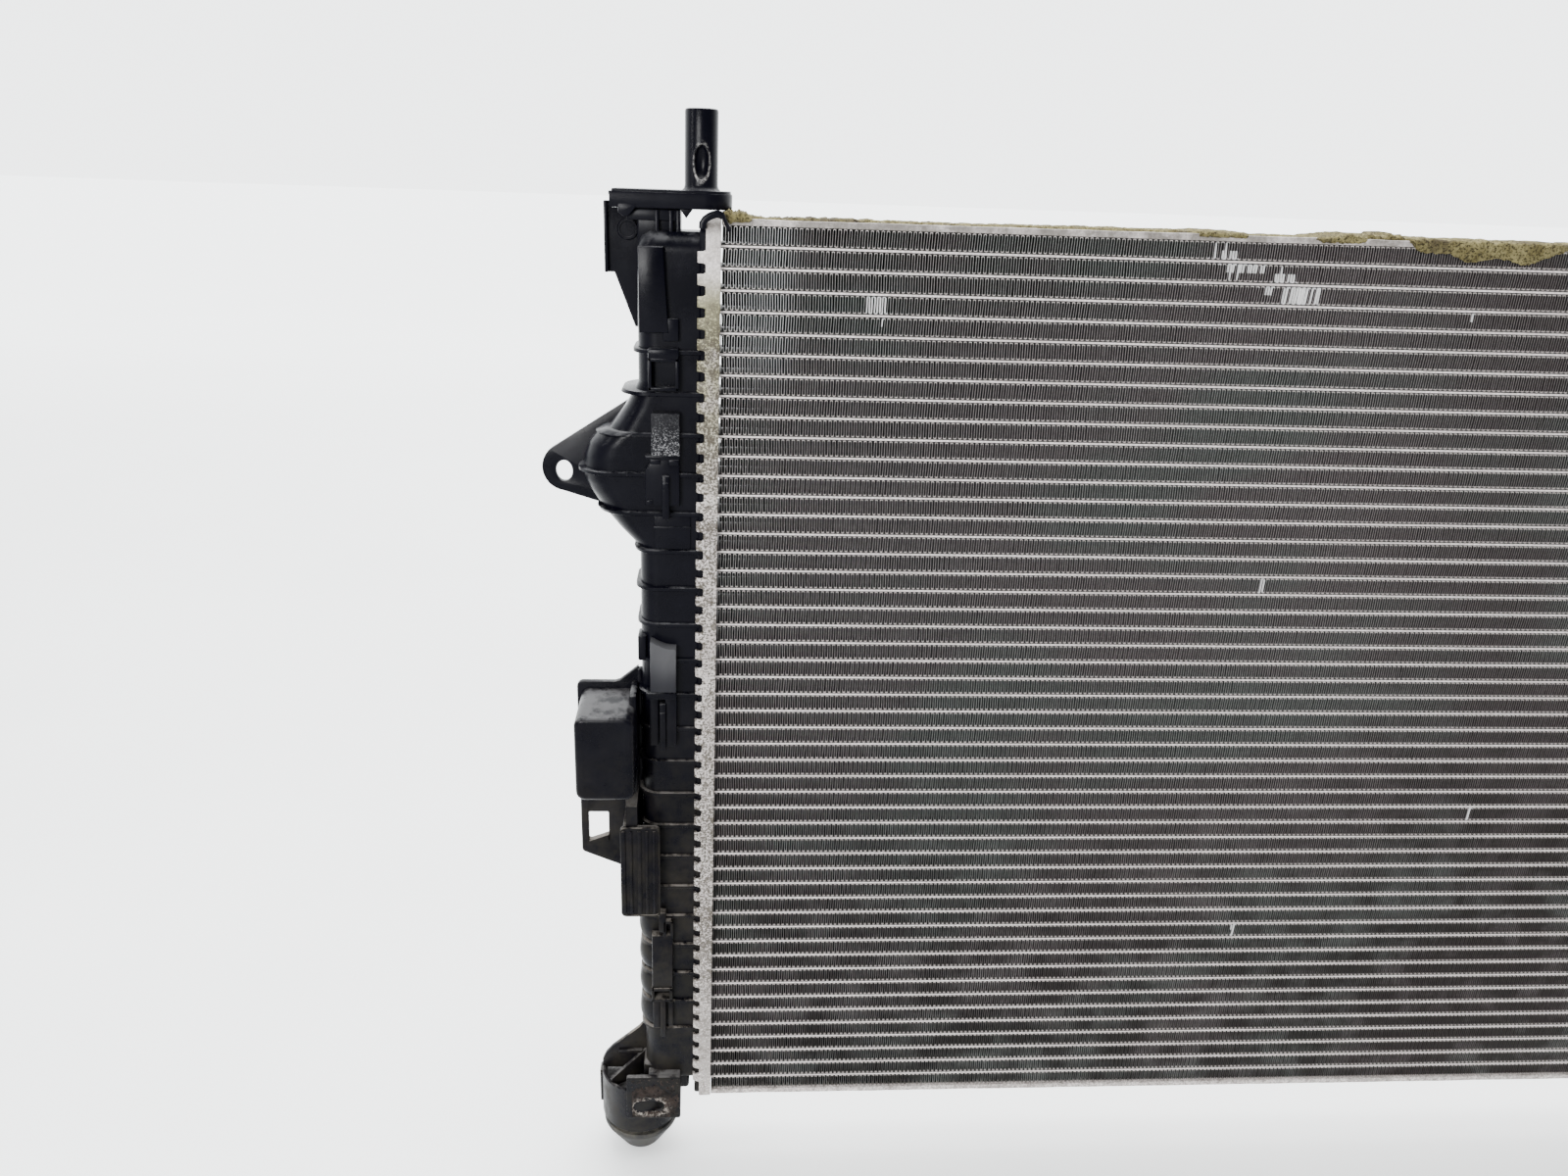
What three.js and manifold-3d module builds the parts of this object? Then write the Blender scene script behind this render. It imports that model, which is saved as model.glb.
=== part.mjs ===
// Cross-flow car radiator: a brazed aluminium core between two moulded plastic end tanks.
// Millimetres, +Z up, +X along the tubes, +Y through the core away from the front face.
// Pieces are laid out from the middle of the core, with Z = 0 at the middle of the top tube
// and Y = 0 at the core's front face. The whole object is moved at the end, so that its
// origin is the middle of its base.
import * as THREE from 'three';
import { mergeVertices } from 'three/addons/utils/BufferGeometryUtils.js';
import Module from 'manifold-3d';

// Driving dimensions of the core.
const CORE_WIDTH = 670;
const CORE_DEPTH = 26;
const TUBE_COUNT = 50;
const TUBE_PITCH = 9.2;
const TUBE_HEIGHT = 1.8;
const TUBE_WALL = 0.35;
const TUBE_STANDOUT = 3.5;
const ROWS_PER_SECTION = 3;
const FIN_WEB = 2;
const FIN_END_GAP = 0.5;
const GAP = 0.3;
const FAR = 1000;

// Header trays, gaskets and side plates.
const SHEET = 1.6;
const HEADER_DEPTH = 6.5;
const HEADER_FRONT = -6;
const HEADER_BACK = CORE_DEPTH - HEADER_FRONT;
const HEADER_TOP = 12;
const HEADER_BOTTOM = -463;
const HEADER_CORNER = 8;
const TAB_REACH = 10;
const TAB_HEIGHT = 4.8;
const TAB_COUNT = TUBE_COUNT - 1;
const TAB_ROOT = 0.5;
const COMB_TOP = 2;
const GASKET_WIDTH = 3;
const GASKET_THICKNESS = 4;
const PLATE_SHEET = 1.2;
const PLATE_FLANGE = 2.6;
const PLATE_OVERHANG = 1;
const FOAM_THICKNESS = 3;
const FOAM_INSET = 0.6;

// End tanks. Offsets grow the outline for the ribs and shrink it for the cavity.
const TANK_WALL = 2.6;
const TANK_REACH = 36.2;
const TANK_TOP = 5.5;
const TANK_BOTTOM = -450;
const TANK_FRONT = -3;
const TANK_BACK = CORE_DEPTH - TANK_FRONT;
const TANK_ROUND = 8;
const TANK_CORNER = 9;
const FOOT_FACE = HEADER_DEPTH - GAP;
const FOOT_THICKNESS = 3;
const FOOT_WIDTH = 5;
const RING_PITCH = 2 * TUBE_PITCH;
const RING_TOP = -44;
const RING_COUNT = 21;
const RING_WIDTH = 2;
const RING_HEIGHT = 1.6;
const BULGE_CENTRE_LEFT = -100;
const BULGE_CENTRE_RIGHT = -340;
// How far the hose chamber stands out, at heights from its centre.
const BULGE_TOP = 41;
const BULGE_SWELL = [[2, 37], [11.3, 23], [23.5, 12], [26.6, 0], [23.4, -10], [16.5, -20], [0, -38]];

// Hose spigots, feet, mounting pegs and the drain.
const SPIGOT_X = -37;
const SPIGOT_RADIUS = 19;
const SPIGOT_BORE = 16.4;
const SPIGOT_END = 64;
const BEAD_HEIGHT = 1.2;
const BEAD_WIDTH = 4;
const EAR_TIP_X = -71.3;
const EAR_TIP_RADIUS = 11.4;
const EAR_FRONT = 18;
const EAR_THICKNESS = 3.5;
const FOOT_X = -40;
const FOOT_Y = 13;
const FOOT_RADIUS = 22;
const HOUSING_TOP = -452;
const HOUSING_BOTTOM = -482;
const FOOT_WALL_TOP = -442.5;
const FOOT_WALL_BOTTOM = -471;
const STEM_RADIUS = 8.6;
const STEM_TOP = -462;
const ISOLATOR_RADIUS = 21;
const ISOLATOR_NOSE = 11;
const ISOLATOR_BOTTOM = -504;
const PEG_X = -8.8;
const PEG_RADIUS = 7.15;
const PEG_TOP = 54.6;
const BRACKET_BOTTOM = 14.2;
const BRACKET_TOP = 22;
const DRAIN_X = -22;
const DRAIN_Z = -432;
const DRAIN_BOSS = 9;
const DRAIN_MOUTH = 36;
const DRAIN_BORE = 5.3;
const DRAIN_SHAFT = 5;
const WING_LENGTH = 16;
const WING_THICKNESS = 3.6;

const wasm = await Module();
wasm.setup();

const blackPlastic = { color: 0x17171c, roughness: 0.38, metalness: 0 };
const rubber = { color: 0x0f0f10, roughness: 0.75, metalness: 0 };
const brazedSheet = { color: 0xb7b4ae, roughness: 0.55, metalness: 0.8 };
const coreAlloy = { color: 0x8f8d8c, roughness: 0.45, metalness: 0.85 };
const agedFoam = { color: 0x7d7758, roughness: 0.95, metalness: 0 };

// A closed geometry as a manifold solid.
function solid(geometry) {
  const bare = geometry.index ? geometry.toNonIndexed() : geometry.clone();
  bare.deleteAttribute('normal');
  bare.deleteAttribute('uv');
  const merged = mergeVertices(bare);
  return new wasm.Manifold(new wasm.Mesh({
    numProp: 3,
    vertProperties: new Float32Array(merged.attributes.position.array),
    triVerts: new Uint32Array(merged.index.array),
  }));
}

// A manifold solid as a named mesh with a material of its own.
function piece(name, body, finish, x = 0) {
  const result = body.getMesh();
  const geometry = new THREE.BufferGeometry();
  geometry.setAttribute('position', new THREE.BufferAttribute(result.vertProperties, 3));
  geometry.setIndex(new THREE.BufferAttribute(result.triVerts, 1));
  geometry.computeVertexNormals();
  const mesh = new THREE.Mesh(geometry, new THREE.MeshStandardMaterial(finish));
  mesh.name = name;
  mesh.position.x = x;
  return mesh;
}

function join(bodies) {
  return bodies.reduce((whole, body) => whole.add(body));
}

function box(x0, x1, y0, y1, z0, z1) {
  const geometry = new THREE.BoxGeometry(x1 - x0, y1 - y0, z1 - z0);
  return solid(geometry.translate((x0 + x1) / 2, (y0 + y1) / 2, (z0 + z1) / 2));
}

// Outlines are lists of [a, b] points, or a ready THREE.Shape.
function outline(points) {
  if (points instanceof THREE.Shape) return points;
  return new THREE.Shape(points.map(([a, b]) => new THREE.Vector2(a, b)));
}

function extrude(points, depth, curveSegments) {
  return new THREE.ExtrudeGeometry(outline(points), { depth, curveSegments, bevelEnabled: false });
}

// An outline in X and Y, raised along Z.
function risen(points, z0, z1, curveSegments = 4) {
  return solid(extrude(points, z1 - z0, curveSegments).translate(0, 0, z0));
}

// An outline in X and Z, with its thickness along Y.
function upright(points, y0, y1, curveSegments = 4) {
  return solid(extrude(points, y1 - y0, curveSegments).rotateX(Math.PI / 2).translate(0, y1, 0));
}

// An outline in Y and Z, with its length along X.
function lengthwise(points, x0, x1, curveSegments = 4) {
  const turn = new THREE.Matrix4().makeBasis(
    new THREE.Vector3(0, 1, 0), new THREE.Vector3(0, 0, 1), new THREE.Vector3(1, 0, 0));
  return solid(extrude(points, x1 - x0, curveSegments).applyMatrix4(turn).translate(x0, 0, 0));
}

// A rod between two places on one axis: 'x', 'y' or 'z'.
function rod(axis, radius, from, to, a, b, sides = 24) {
  const geometry = new THREE.CylinderGeometry(radius, radius, to - from, sides);
  const middle = (from + to) / 2;
  if (axis === 'x') return solid(geometry.rotateZ(-Math.PI / 2).translate(middle, a, b));
  if (axis === 'y') return solid(geometry.translate(a, middle, b));
  return solid(geometry.rotateX(Math.PI / 2).translate(a, b, middle));
}

// A lathed profile of [radius, height] points, standing along Z.
function turned(profile, x, y, sides = 28) {
  const points = profile.map(([radius, height]) => new THREE.Vector2(radius, height));
  return solid(new THREE.LatheGeometry(points, sides).rotateX(Math.PI / 2).translate(x, y, 0));
}

function roundedRectangle(a0, a1, b0, b1, radius) {
  const shape = new THREE.Shape();
  shape.moveTo(a0 + radius, b0);
  shape.lineTo(a1 - radius, b0);
  shape.absarc(a1 - radius, b0 + radius, radius, -Math.PI / 2, 0, false);
  shape.lineTo(a1, b1 - radius);
  shape.absarc(a1 - radius, b1 - radius, radius, 0, Math.PI / 2, false);
  shape.lineTo(a0 + radius, b1);
  shape.absarc(a0 + radius, b1 - radius, radius, Math.PI / 2, Math.PI, false);
  shape.lineTo(a0, b0 + radius);
  shape.absarc(a0 + radius, b0 + radius, radius, Math.PI, 1.5 * Math.PI, false);
  return shape;
}

// The same solid seen in a mirror, for the pieces of the right end.
function mirrored(body) {
  return body.mirror([1, 0, 0]);
}

const tubeZ = (index) => -TUBE_PITCH * index;

// One flat tube: an open-ended flattened pipe that reaches through both headers.
function tube(index) {
  const z = tubeZ(index);
  const half = TUBE_HEIGHT / 2;
  const reach = CORE_WIDTH / 2 + TUBE_STANDOUT;
  const skin = lengthwise([
    [0, z], [half, z - half], [CORE_DEPTH - half, z - half],
    [CORE_DEPTH, z], [CORE_DEPTH - half, z + half], [half, z + half],
  ], -reach, reach);
  const water = half - TUBE_WALL;
  const edge = half + TUBE_WALL;
  return skin.subtract(box(-FAR, FAR, edge, CORE_DEPTH - edge, z - water, z + water));
}

// A fin row is carried by a web of the same mass, bonded to the tube below it, and to the
// tube above it where that tube belongs to the same section.
function finWeb(index, bondedAbove) {
  const bond = TUBE_WALL / 2;
  const bottom = tubeZ(index) + TUBE_HEIGHT / 2 - bond;
  const top = tubeZ(index - 1) - TUBE_HEIGHT / 2 + (bondedAbove ? bond : -GAP);
  const middle = CORE_DEPTH / 2;
  const reach = CORE_WIDTH / 2 - FIN_END_GAP;
  return box(-reach, reach, middle - FIN_WEB / 2, middle + FIN_WEB / 2, bottom, top);
}

function coreSection(first) {
  const last = Math.min(first + ROWS_PER_SECTION, TUBE_COUNT + 1);
  const bodies = [];
  for (let row = first; row < last; row += 1) {
    if (row < TUBE_COUNT) bodies.push(tube(row), finWeb(row, row > first));
  }
  if (last === TUBE_COUNT + 1) {
    const floor = tubeZ(TUBE_COUNT);
    const clearance = box(-FAR, FAR, 0, CORE_DEPTH, floor, floor + TUBE_HEIGHT / 2);
    bodies.push(finWeb(TUBE_COUNT, true).subtract(clearance));
  }
  return join(bodies);
}

// Header: a shallow tray with one slot for each tube, a comb of crimp tabs on its front wall
// and one long crimp strip on its back wall.
function header() {
  const trayOutline = (inset) => roundedRectangle(
    HEADER_FRONT + inset, HEADER_BACK - inset, HEADER_BOTTOM + inset, HEADER_TOP - inset,
    HEADER_CORNER - inset);
  const tray = lengthwise(trayOutline(0), -HEADER_DEPTH, 0, 2);
  const hollow = lengthwise(trayOutline(SHEET), -2 * HEADER_DEPTH, -SHEET, 2);
  const root = -HEADER_DEPTH + TAB_ROOT;
  const lowest = tubeZ(TAB_COUNT);
  const comb = [[root, COMB_TOP], [root, lowest - COMB_TOP], [-HEADER_DEPTH, lowest - COMB_TOP]];
  for (let tab = TAB_COUNT - 1; tab >= 0; tab -= 1) {
    const middle = (tubeZ(tab) + tubeZ(tab + 1)) / 2;
    comb.push([-HEADER_DEPTH, middle - TAB_HEIGHT / 2], [-TAB_REACH, middle - TAB_HEIGHT / 2]);
    comb.push([-TAB_REACH, middle + TAB_HEIGHT / 2], [-HEADER_DEPTH, middle + TAB_HEIGHT / 2]);
  }
  comb.push([-HEADER_DEPTH, COMB_TOP]);
  const strip = box(-TAB_REACH, root, HEADER_BACK - SHEET, HEADER_BACK, lowest, -TAB_HEIGHT / 2);
  const slots = [];
  for (let index = 0; index < TUBE_COUNT; index += 1) {
    const half = TUBE_HEIGHT / 2 + GAP;
    const z = tubeZ(index);
    slots.push(box(-HEADER_DEPTH, HEADER_DEPTH, -GAP, CORE_DEPTH + GAP, z - half, z + half));
  }
  return tray.subtract(hollow)
    .add(upright(comb, HEADER_FRONT, HEADER_FRONT + SHEET))
    .add(strip)
    .subtract(join(slots));
}

// A flat ring that follows the inside of the header tray.
function trayRing(x0, x1, width) {
  const edge = SHEET + GAP;
  const radius = HEADER_CORNER - edge;
  const inner = Math.max(radius - width, 1);
  const front = HEADER_FRONT + edge;
  const back = HEADER_BACK - edge;
  const bottom = HEADER_BOTTOM + edge;
  const top = HEADER_TOP - edge;
  const whole = lengthwise(roundedRectangle(front, back, bottom, top, radius), x0, x1, 2);
  const open = roundedRectangle(front + width, back - width, bottom + width, top - width, inner);
  return whole.subtract(lengthwise(open, x0 - GAP, x1 + GAP, 2));
}

function gasket() {
  return trayRing(-SHEET - GAP - GASKET_THICKNESS, -SHEET - GAP, GASKET_WIDTH);
}

// Side plates close the core above and below with a shallow channel.
function sidePlate(face, outward) {
  const half = CORE_WIDTH / 2 - GAP;
  const z = (height) => face + outward * height;
  const front = -PLATE_OVERHANG;
  const back = CORE_DEPTH + PLATE_OVERHANG;
  const profile = [
    [front, z(0)], [back, z(0)], [back, z(PLATE_FLANGE)], [back - PLATE_SHEET, z(PLATE_FLANGE)],
    [back - PLATE_SHEET, z(PLATE_SHEET)], [front + PLATE_SHEET, z(PLATE_SHEET)],
    [front + PLATE_SHEET, z(PLATE_FLANGE)], [front, z(PLATE_FLANGE)],
  ];
  return lengthwise(profile, -half, half);
}

// Foam seal that lies in the top channel, with a worn and uneven top edge.
function foamStrip(base) {
  const half = CORE_WIDTH / 2 - 2 * FIN_END_GAP;
  const steps = 16;
  const points = [[half, base], [-half, base]];
  for (let step = 0; step <= steps; step += 1) {
    const wear = Math.sin(step * 2.3) * 0.8 + Math.sin(step * 0.9) * 0.6;
    points.push([-half + (2 * half * step) / steps, base + FOAM_THICKNESS + wear]);
  }
  return upright(points, FOAM_INSET, CORE_DEPTH - FOAM_INSET);
}

// Side view of a tank. The hose chamber swells outwards around bulgeZ.
function tankOutline(bulgeZ, offset) {
  const outer = -TANK_REACH - offset;
  const top = TANK_TOP + offset;
  const bottom = TANK_BOTTOM - offset;
  const corner = TANK_CORNER + offset;
  const swell = BULGE_SWELL.map(([reach, height]) => new THREE.Vector2(outer - reach, bulgeZ + height));
  const shape = new THREE.Shape();
  shape.moveTo(TANK_REACH, bottom);
  shape.lineTo(TANK_REACH, top);
  shape.lineTo(outer + corner, top);
  shape.absarc(outer + corner, top - corner, corner, Math.PI / 2, Math.PI, false);
  shape.lineTo(outer, bulgeZ + BULGE_TOP);
  shape.splineThru(swell);
  shape.lineTo(outer, bottom + corner);
  shape.absarc(outer + corner, bottom + corner, corner, Math.PI, 1.5 * Math.PI, false);
  return shape;
}

function tankForm(bulgeZ, offset) {
  const round = TANK_ROUND + offset;
  const geometry = new THREE.ExtrudeGeometry(tankOutline(bulgeZ, offset), {
    depth: TANK_BACK - TANK_FRONT + 2 * offset - 2 * round,
    curveSegments: 2,
    bevelThickness: round,
    bevelSize: round,
    bevelOffset: -round,
    bevelSegments: 2,
  });
  geometry.rotateX(Math.PI / 2).translate(0, TANK_BACK + offset - round, 0);
  return solid(geometry).subtract(box(-FOOT_FACE, FAR, -FAR, FAR, -FAR, FAR));
}

function ribSlabs() {
  const slabs = [];
  for (let ring = 0; ring < RING_COUNT; ring += 1) {
    const z = RING_TOP - ring * RING_PITCH;
    slabs.push(box(-FAR, -TAB_REACH - GAP, -FAR, FAR, z - RING_WIDTH, z));
  }
  return join(slabs);
}

// Hose spigot behind the swelling, with a raised bead near its mouth.
function spigot(z) {
  const beadEnd = SPIGOT_END - BEAD_WIDTH;
  const bead = rod('y', SPIGOT_RADIUS + BEAD_HEIGHT, beadEnd - BEAD_WIDTH, beadEnd, SPIGOT_X, z);
  return rod('y', SPIGOT_RADIUS, TANK_BACK - TANK_ROUND, SPIGOT_END, SPIGOT_X, z).add(bead);
}

// Mounting ear: a tapering plate with a rounded tip and an oval hole.
function ear(z) {
  const shape = new THREE.Shape();
  shape.moveTo(-30, z - 22);
  shape.lineTo(-44, z + 28.4);
  shape.absarc(EAR_TIP_X, z - 3, EAR_TIP_RADIUS, Math.PI * 0.667, Math.PI * 1.45, false);
  shape.lineTo(-56, z - 19.5);
  const hole = new THREE.Path();
  hole.absellipse(-72.4, z - 4.6, 3.85, 5, 0, 2 * Math.PI, true, 0);
  shape.holes.push(hole);
  return upright(shape, EAR_FRONT, EAR_FRONT + EAR_THICKNESS, 5);
}

// Clip blocks, pads and guide rails moulded on the front of a tank.
const FRONT_FITTINGS = [
  { name: 'top panel', x: [-35, -24.4], y: [-7, -2], z: [-36, -0.6] },
  { name: 'panel step', x: [-24.4, -18], y: [-6, -2], z: [-40, -30.4] },
  { name: 'upper clip band', x: [-31.2, -17.8], y: [-9, -2], z: [-47.5, -43] },
  { name: 'upper clip left cheek', x: [-31.2, -28.6], y: [-9, -2], z: [-60.7, -43] },
  { name: 'upper clip right cheek', x: [-20.2, -17.8], y: [-9, -2], z: [-60.7, -43] },
  { name: 'middle pad', x: [-30, -17.5], y: [-9, -2], z: [-90, -71] },
  { name: 'middle clip', x: [-33, -17.5], y: [-7, -2], z: [-114, -91] },
  { name: 'middle tongue', x: [-25.3, -22], y: [-10, -6], z: [-119.7, -100] },
  { name: 'air guide panel', x: [-29, -12.5], y: [-4.6, -2], z: [-125.6, -120] },
  { name: 'lower pad', x: [-31.3, -19], y: [-10, -2], z: [-206.5, -183] },
  { name: 'lower pad lug', x: [-37.5, -33.8], y: [-2, 8], z: [-191, -181] },
  { name: 'lower pad ledge', x: [-33, -19], y: [-8, -2], z: [-211, -205] },
  { name: 'lower clip block', x: [-24.4, -19], y: [-7, -2], z: [-224, -210] },
  { name: 'lower tongue', x: [-27, -24], y: [-9, -2], z: [-237.5, -210] },
  { name: 'rail', x: [-32.5, -24.4], y: [-8, -2], z: [-412, -352] },
  { name: 'rail head', x: [-29, -24.4], y: [-8, -2], z: [-352, -335] },
  { name: 'rail tongue', x: [-30, -27.5], y: [-9, -6], z: [-417, -388] },
];

function frontFittings() {
  return join(FRONT_FITTINGS.map(({ x, y, z }) => box(...x, ...y, ...z)));
}

// Pillar and back plate that carry the upper mount bracket.
function shoulder() {
  const top = BRACKET_BOTTOM - GAP;
  const pillar = box(-36, -17.4, 6, 22, 0, top);
  const ribs = [-27.5, -21.5].map((x) => box(x - 0.8, x + 0.8, 3, 22, 0, top));
  const plate = upright([
    [-50.6, 16.7], [-47.8, 16.7], [-47.8, top], [-25, top], [-25, -35.6],
    [-38.6, -35.6], [-47.1, -13.4], [-50.6, -13.4],
  ], 18, 21);
  const boss = rod('y', 4.4, 14.5, 19, -40, 4, 16);
  return join([pillar, plate, boss, ...ribs]);
}

// Foot housing: a round cup for the rubber isolator, with a flat front wall and a slot.
function footHousing() {
  const face = FOOT_Y - FOOT_RADIUS;
  const cup = rod('z', FOOT_RADIUS, HOUSING_BOTTOM, HOUSING_TOP, FOOT_X, FOOT_Y, 28);
  const front = box(-46, -17, face, FOOT_Y, FOOT_WALL_BOTTOM, FOOT_WALL_TOP);
  const bridge = box(-36, -14, 2, 24, FOOT_WALL_BOTTOM, TANK_BOTTOM + TANK_ROUND);
  const rib = risen([[-36, 12], [-36, 15], [-56, -3], [-54, -5.5]], HOUSING_TOP - 1, HOUSING_TOP + 4);
  const gusset = upright([
    [-30, -416], [-36, -421], [-51, -435], [-59.5, -443.5], [-61.8, -453], [-30, -453],
  ], 11.5, 14.5);
  const slot = box(-42.5, -25.5, face - 1, face + 5, -464.5, -460.5);
  const socket = rod('z', STEM_RADIUS + GAP, HOUSING_BOTTOM - 1, STEM_TOP + GAP, FOOT_X, FOOT_Y);
  return { body: join([cup, front, bridge, rib, gusset]), cuts: [slot, socket] };
}

// A whole tank, drawn as the left one: shell, foot, ribs, fittings, spigot, ear and foot housing.
function tank(bulgeZ, drained) {
  const housing = footHousing();
  const outside = [
    tankForm(bulgeZ, 0),
    tankForm(bulgeZ, RING_HEIGHT).intersect(ribSlabs()),
    trayRing(-FOOT_FACE - FOOT_THICKNESS, -FOOT_FACE, FOOT_WIDTH),
    spigot(bulgeZ),
    ear(bulgeZ),
    frontFittings(),
    shoulder(),
    housing.body,
  ];
  const cuts = [
    tankForm(bulgeZ, -TANK_WALL),
    rod('y', SPIGOT_BORE, TANK_BACK - TANK_ROUND, SPIGOT_END + GAP, SPIGOT_X, bulgeZ),
    ...housing.cuts,
  ];
  if (drained) {
    outside.push(rod('y', DRAIN_BOSS, TANK_BACK - TANK_WALL, DRAIN_MOUTH, DRAIN_X, DRAIN_Z, 20));
    cuts.push(rod('y', DRAIN_BORE, TANK_BACK - TANK_ROUND, DRAIN_MOUTH + GAP, DRAIN_X, DRAIN_Z, 20));
  }
  return join(outside).subtract(join(cuts));
}

// Upper mount: a deep-edged plate with a locating peg and two snap hooks underneath.
function mountBracket() {
  const half = 12;
  const roundX = -7.3;
  const shape = new THREE.Shape();
  shape.moveTo(-47.4, FOOT_Y - half);
  shape.lineTo(roundX, FOOT_Y - half);
  shape.absarc(roundX, FOOT_Y, half, -Math.PI / 2, Math.PI / 2, false);
  shape.lineTo(-47.4, FOOT_Y + half);
  const plate = risen(shape, BRACKET_BOTTOM, BRACKET_TOP, 6);
  const peg = rod('z', PEG_RADIUS, BRACKET_TOP - 2, PEG_TOP, PEG_X, FOOT_Y, 24);
  const pegFace = FOOT_Y - PEG_RADIUS;
  const recess = box(PEG_X - 2.6, PEG_X + 3.4, pegFace - 1, pegFace + 1.6, 27, 39);
  const frontHook = upright([[-43.6, 15], [-43.6, 12.4], [-41, 10.6], [-37, 15]], 1, 3.6);
  const peakHook = upright([[-18, 15], [-15, 10.6], [-12, 15]], 23, 25);
  const nub = box(-48.4, -46, 9, 17, BRACKET_TOP - 2.6, BRACKET_TOP - 1);
  return join([plate, peg, frontHook, peakHook, nub]).subtract(recess);
}

// Box bracket on the tank's flank: a pocketed box on a windowed plate, with a grooved guide.
function boxBracket() {
  const face = -TANK_REACH - RING_HEIGHT - GAP;
  const outer = upright(roundedRectangle(-66.7, -38.6, -257.3, -213.3, 4), -25, 13, 3);
  const pocket = upright(roundedRectangle(-64.5, -40.8, -255.1, -215.5, 2), -22.6, 14, 2);
  const plate = upright([
    [face, -200.6], [-48.5, -209.4], [-68.8, -209.5], [-68.9, -309.4], [-49.2, -316.6], [face, -316.6],
  ], 10, 13);
  const window = box(-65, -54.7, 5, 20, -301, -284.5);
  const web = box(-45.6, face, -12, 12, -316, -268);
  const guide = upright(roundedRectangle(-47, -27, -333, -280, 2.5), -13, -9.6, 2);
  const grooves = [-43.5, -40, -36.5, -33, -29.5].map((x) => box(x - 0.7, x + 0.7, -14, -12.2, -331, -282));
  return join([outer, plate, web, guide]).subtract(join([pocket, window, ...grooves]));
}

// Rubber isolator under a foot: a cone with a stem that pushes up into the cup, and a groove
// between the cup and the cone.
function isolator() {
  const top = HOUSING_BOTTOM - GAP;
  const groove = ISOLATOR_RADIUS - 3;
  const shoulderZ = top - 2.4;
  return turned([
    [0, ISOLATOR_BOTTOM], [ISOLATOR_NOSE, ISOLATOR_BOTTOM], [ISOLATOR_RADIUS, shoulderZ - 3],
    [ISOLATOR_RADIUS, shoulderZ], [groove, shoulderZ], [groove, top], [STEM_RADIUS, top],
    [STEM_RADIUS, STEM_TOP], [0, STEM_TOP],
  ], FOOT_X, FOOT_Y);
}

// A length of round bar on the drain's axis, measured from the mouth of its boss.
function drainBar(radius, from, to) {
  return rod('y', radius, DRAIN_MOUTH + from, DRAIN_MOUTH + to, DRAIN_X, DRAIN_Z, 20);
}

// Quarter-turn drain tap: a grooved plug with a wing head.
function drainTap() {
  const groove = drainBar(DRAIN_SHAFT + 1, -4.6, -2).subtract(drainBar(DRAIN_SHAFT - 1.2, -6, 0));
  const wing = box(DRAIN_X - WING_LENGTH / 2, DRAIN_X + WING_LENGTH / 2, DRAIN_MOUTH + 2, DRAIN_MOUTH + 12,
    DRAIN_Z - WING_THICKNESS / 2, DRAIN_Z + WING_THICKNESS / 2);
  const head = drainBar(DRAIN_BOSS - 0.6, GAP, 3);
  return join([drainBar(DRAIN_SHAFT, -8, 1), head, wing]).subtract(groove);
}

// The seal ring sits in the plug's groove.
function drainSeal() {
  return drainBar(DRAIN_SHAFT + 0.05, -4.3, -2.3).subtract(drainBar(DRAIN_SHAFT - 0.9, -5, -1));
}

const radiator = new THREE.Group();

for (let first = 0, section = 1; first <= TUBE_COUNT; first += ROWS_PER_SECTION, section += 1) {
  radiator.add(piece(`core_section_${String(section).padStart(2, '0')}`, coreSection(first), coreAlloy));
}

const plateTop = TUBE_PITCH - TUBE_HEIGHT / 2 + GAP;
const plateBottom = tubeZ(TUBE_COUNT) + TUBE_HEIGHT / 2 - GAP;
radiator.add(piece('top_side_plate', sidePlate(plateTop, 1), brazedSheet));
radiator.add(piece('bottom_side_plate', sidePlate(plateBottom, -1), brazedSheet));
radiator.add(piece('top_foam_strip', foamStrip(plateTop + PLATE_SHEET + GAP), agedFoam));

const ends = [
  { side: 'left', x: -CORE_WIDTH / 2, turn: (body) => body, bulgeZ: BULGE_CENTRE_LEFT },
  { side: 'right', x: CORE_WIDTH / 2, turn: mirrored, bulgeZ: BULGE_CENTRE_RIGHT },
];
for (const { side, x, turn, bulgeZ } of ends) {
  const drained = side === 'right';
  radiator.add(piece(`${side}_header`, turn(header()), brazedSheet, x));
  radiator.add(piece(`${side}_gasket`, turn(gasket()), rubber, x));
  radiator.add(piece(`${side}_tank`, turn(tank(bulgeZ, drained)), blackPlastic, x));
  radiator.add(piece(`upper_${side}_mount`, turn(mountBracket()), blackPlastic, x));
  radiator.add(piece(`lower_${side}_isolator`, turn(isolator()), rubber, x));
  if (!drained) radiator.add(piece('left_box_bracket', boxBracket(), blackPlastic, x));
  if (drained) {
    radiator.add(piece('drain_tap', turn(drainTap()), blackPlastic, x));
    radiator.add(piece('drain_tap_seal', turn(drainSeal()), rubber, x));
  }
}

// The origin is the middle of the base.
const bounds = new THREE.Box3().setFromObject(radiator);
const middle = bounds.getCenter(new THREE.Vector3());
radiator.position.set(-middle.x, -middle.y, -bounds.min.z);

export default radiator;
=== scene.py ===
import math
import random

import bmesh
import bpy
import numpy as np
from mathutils import Matrix, Vector, noise


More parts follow.
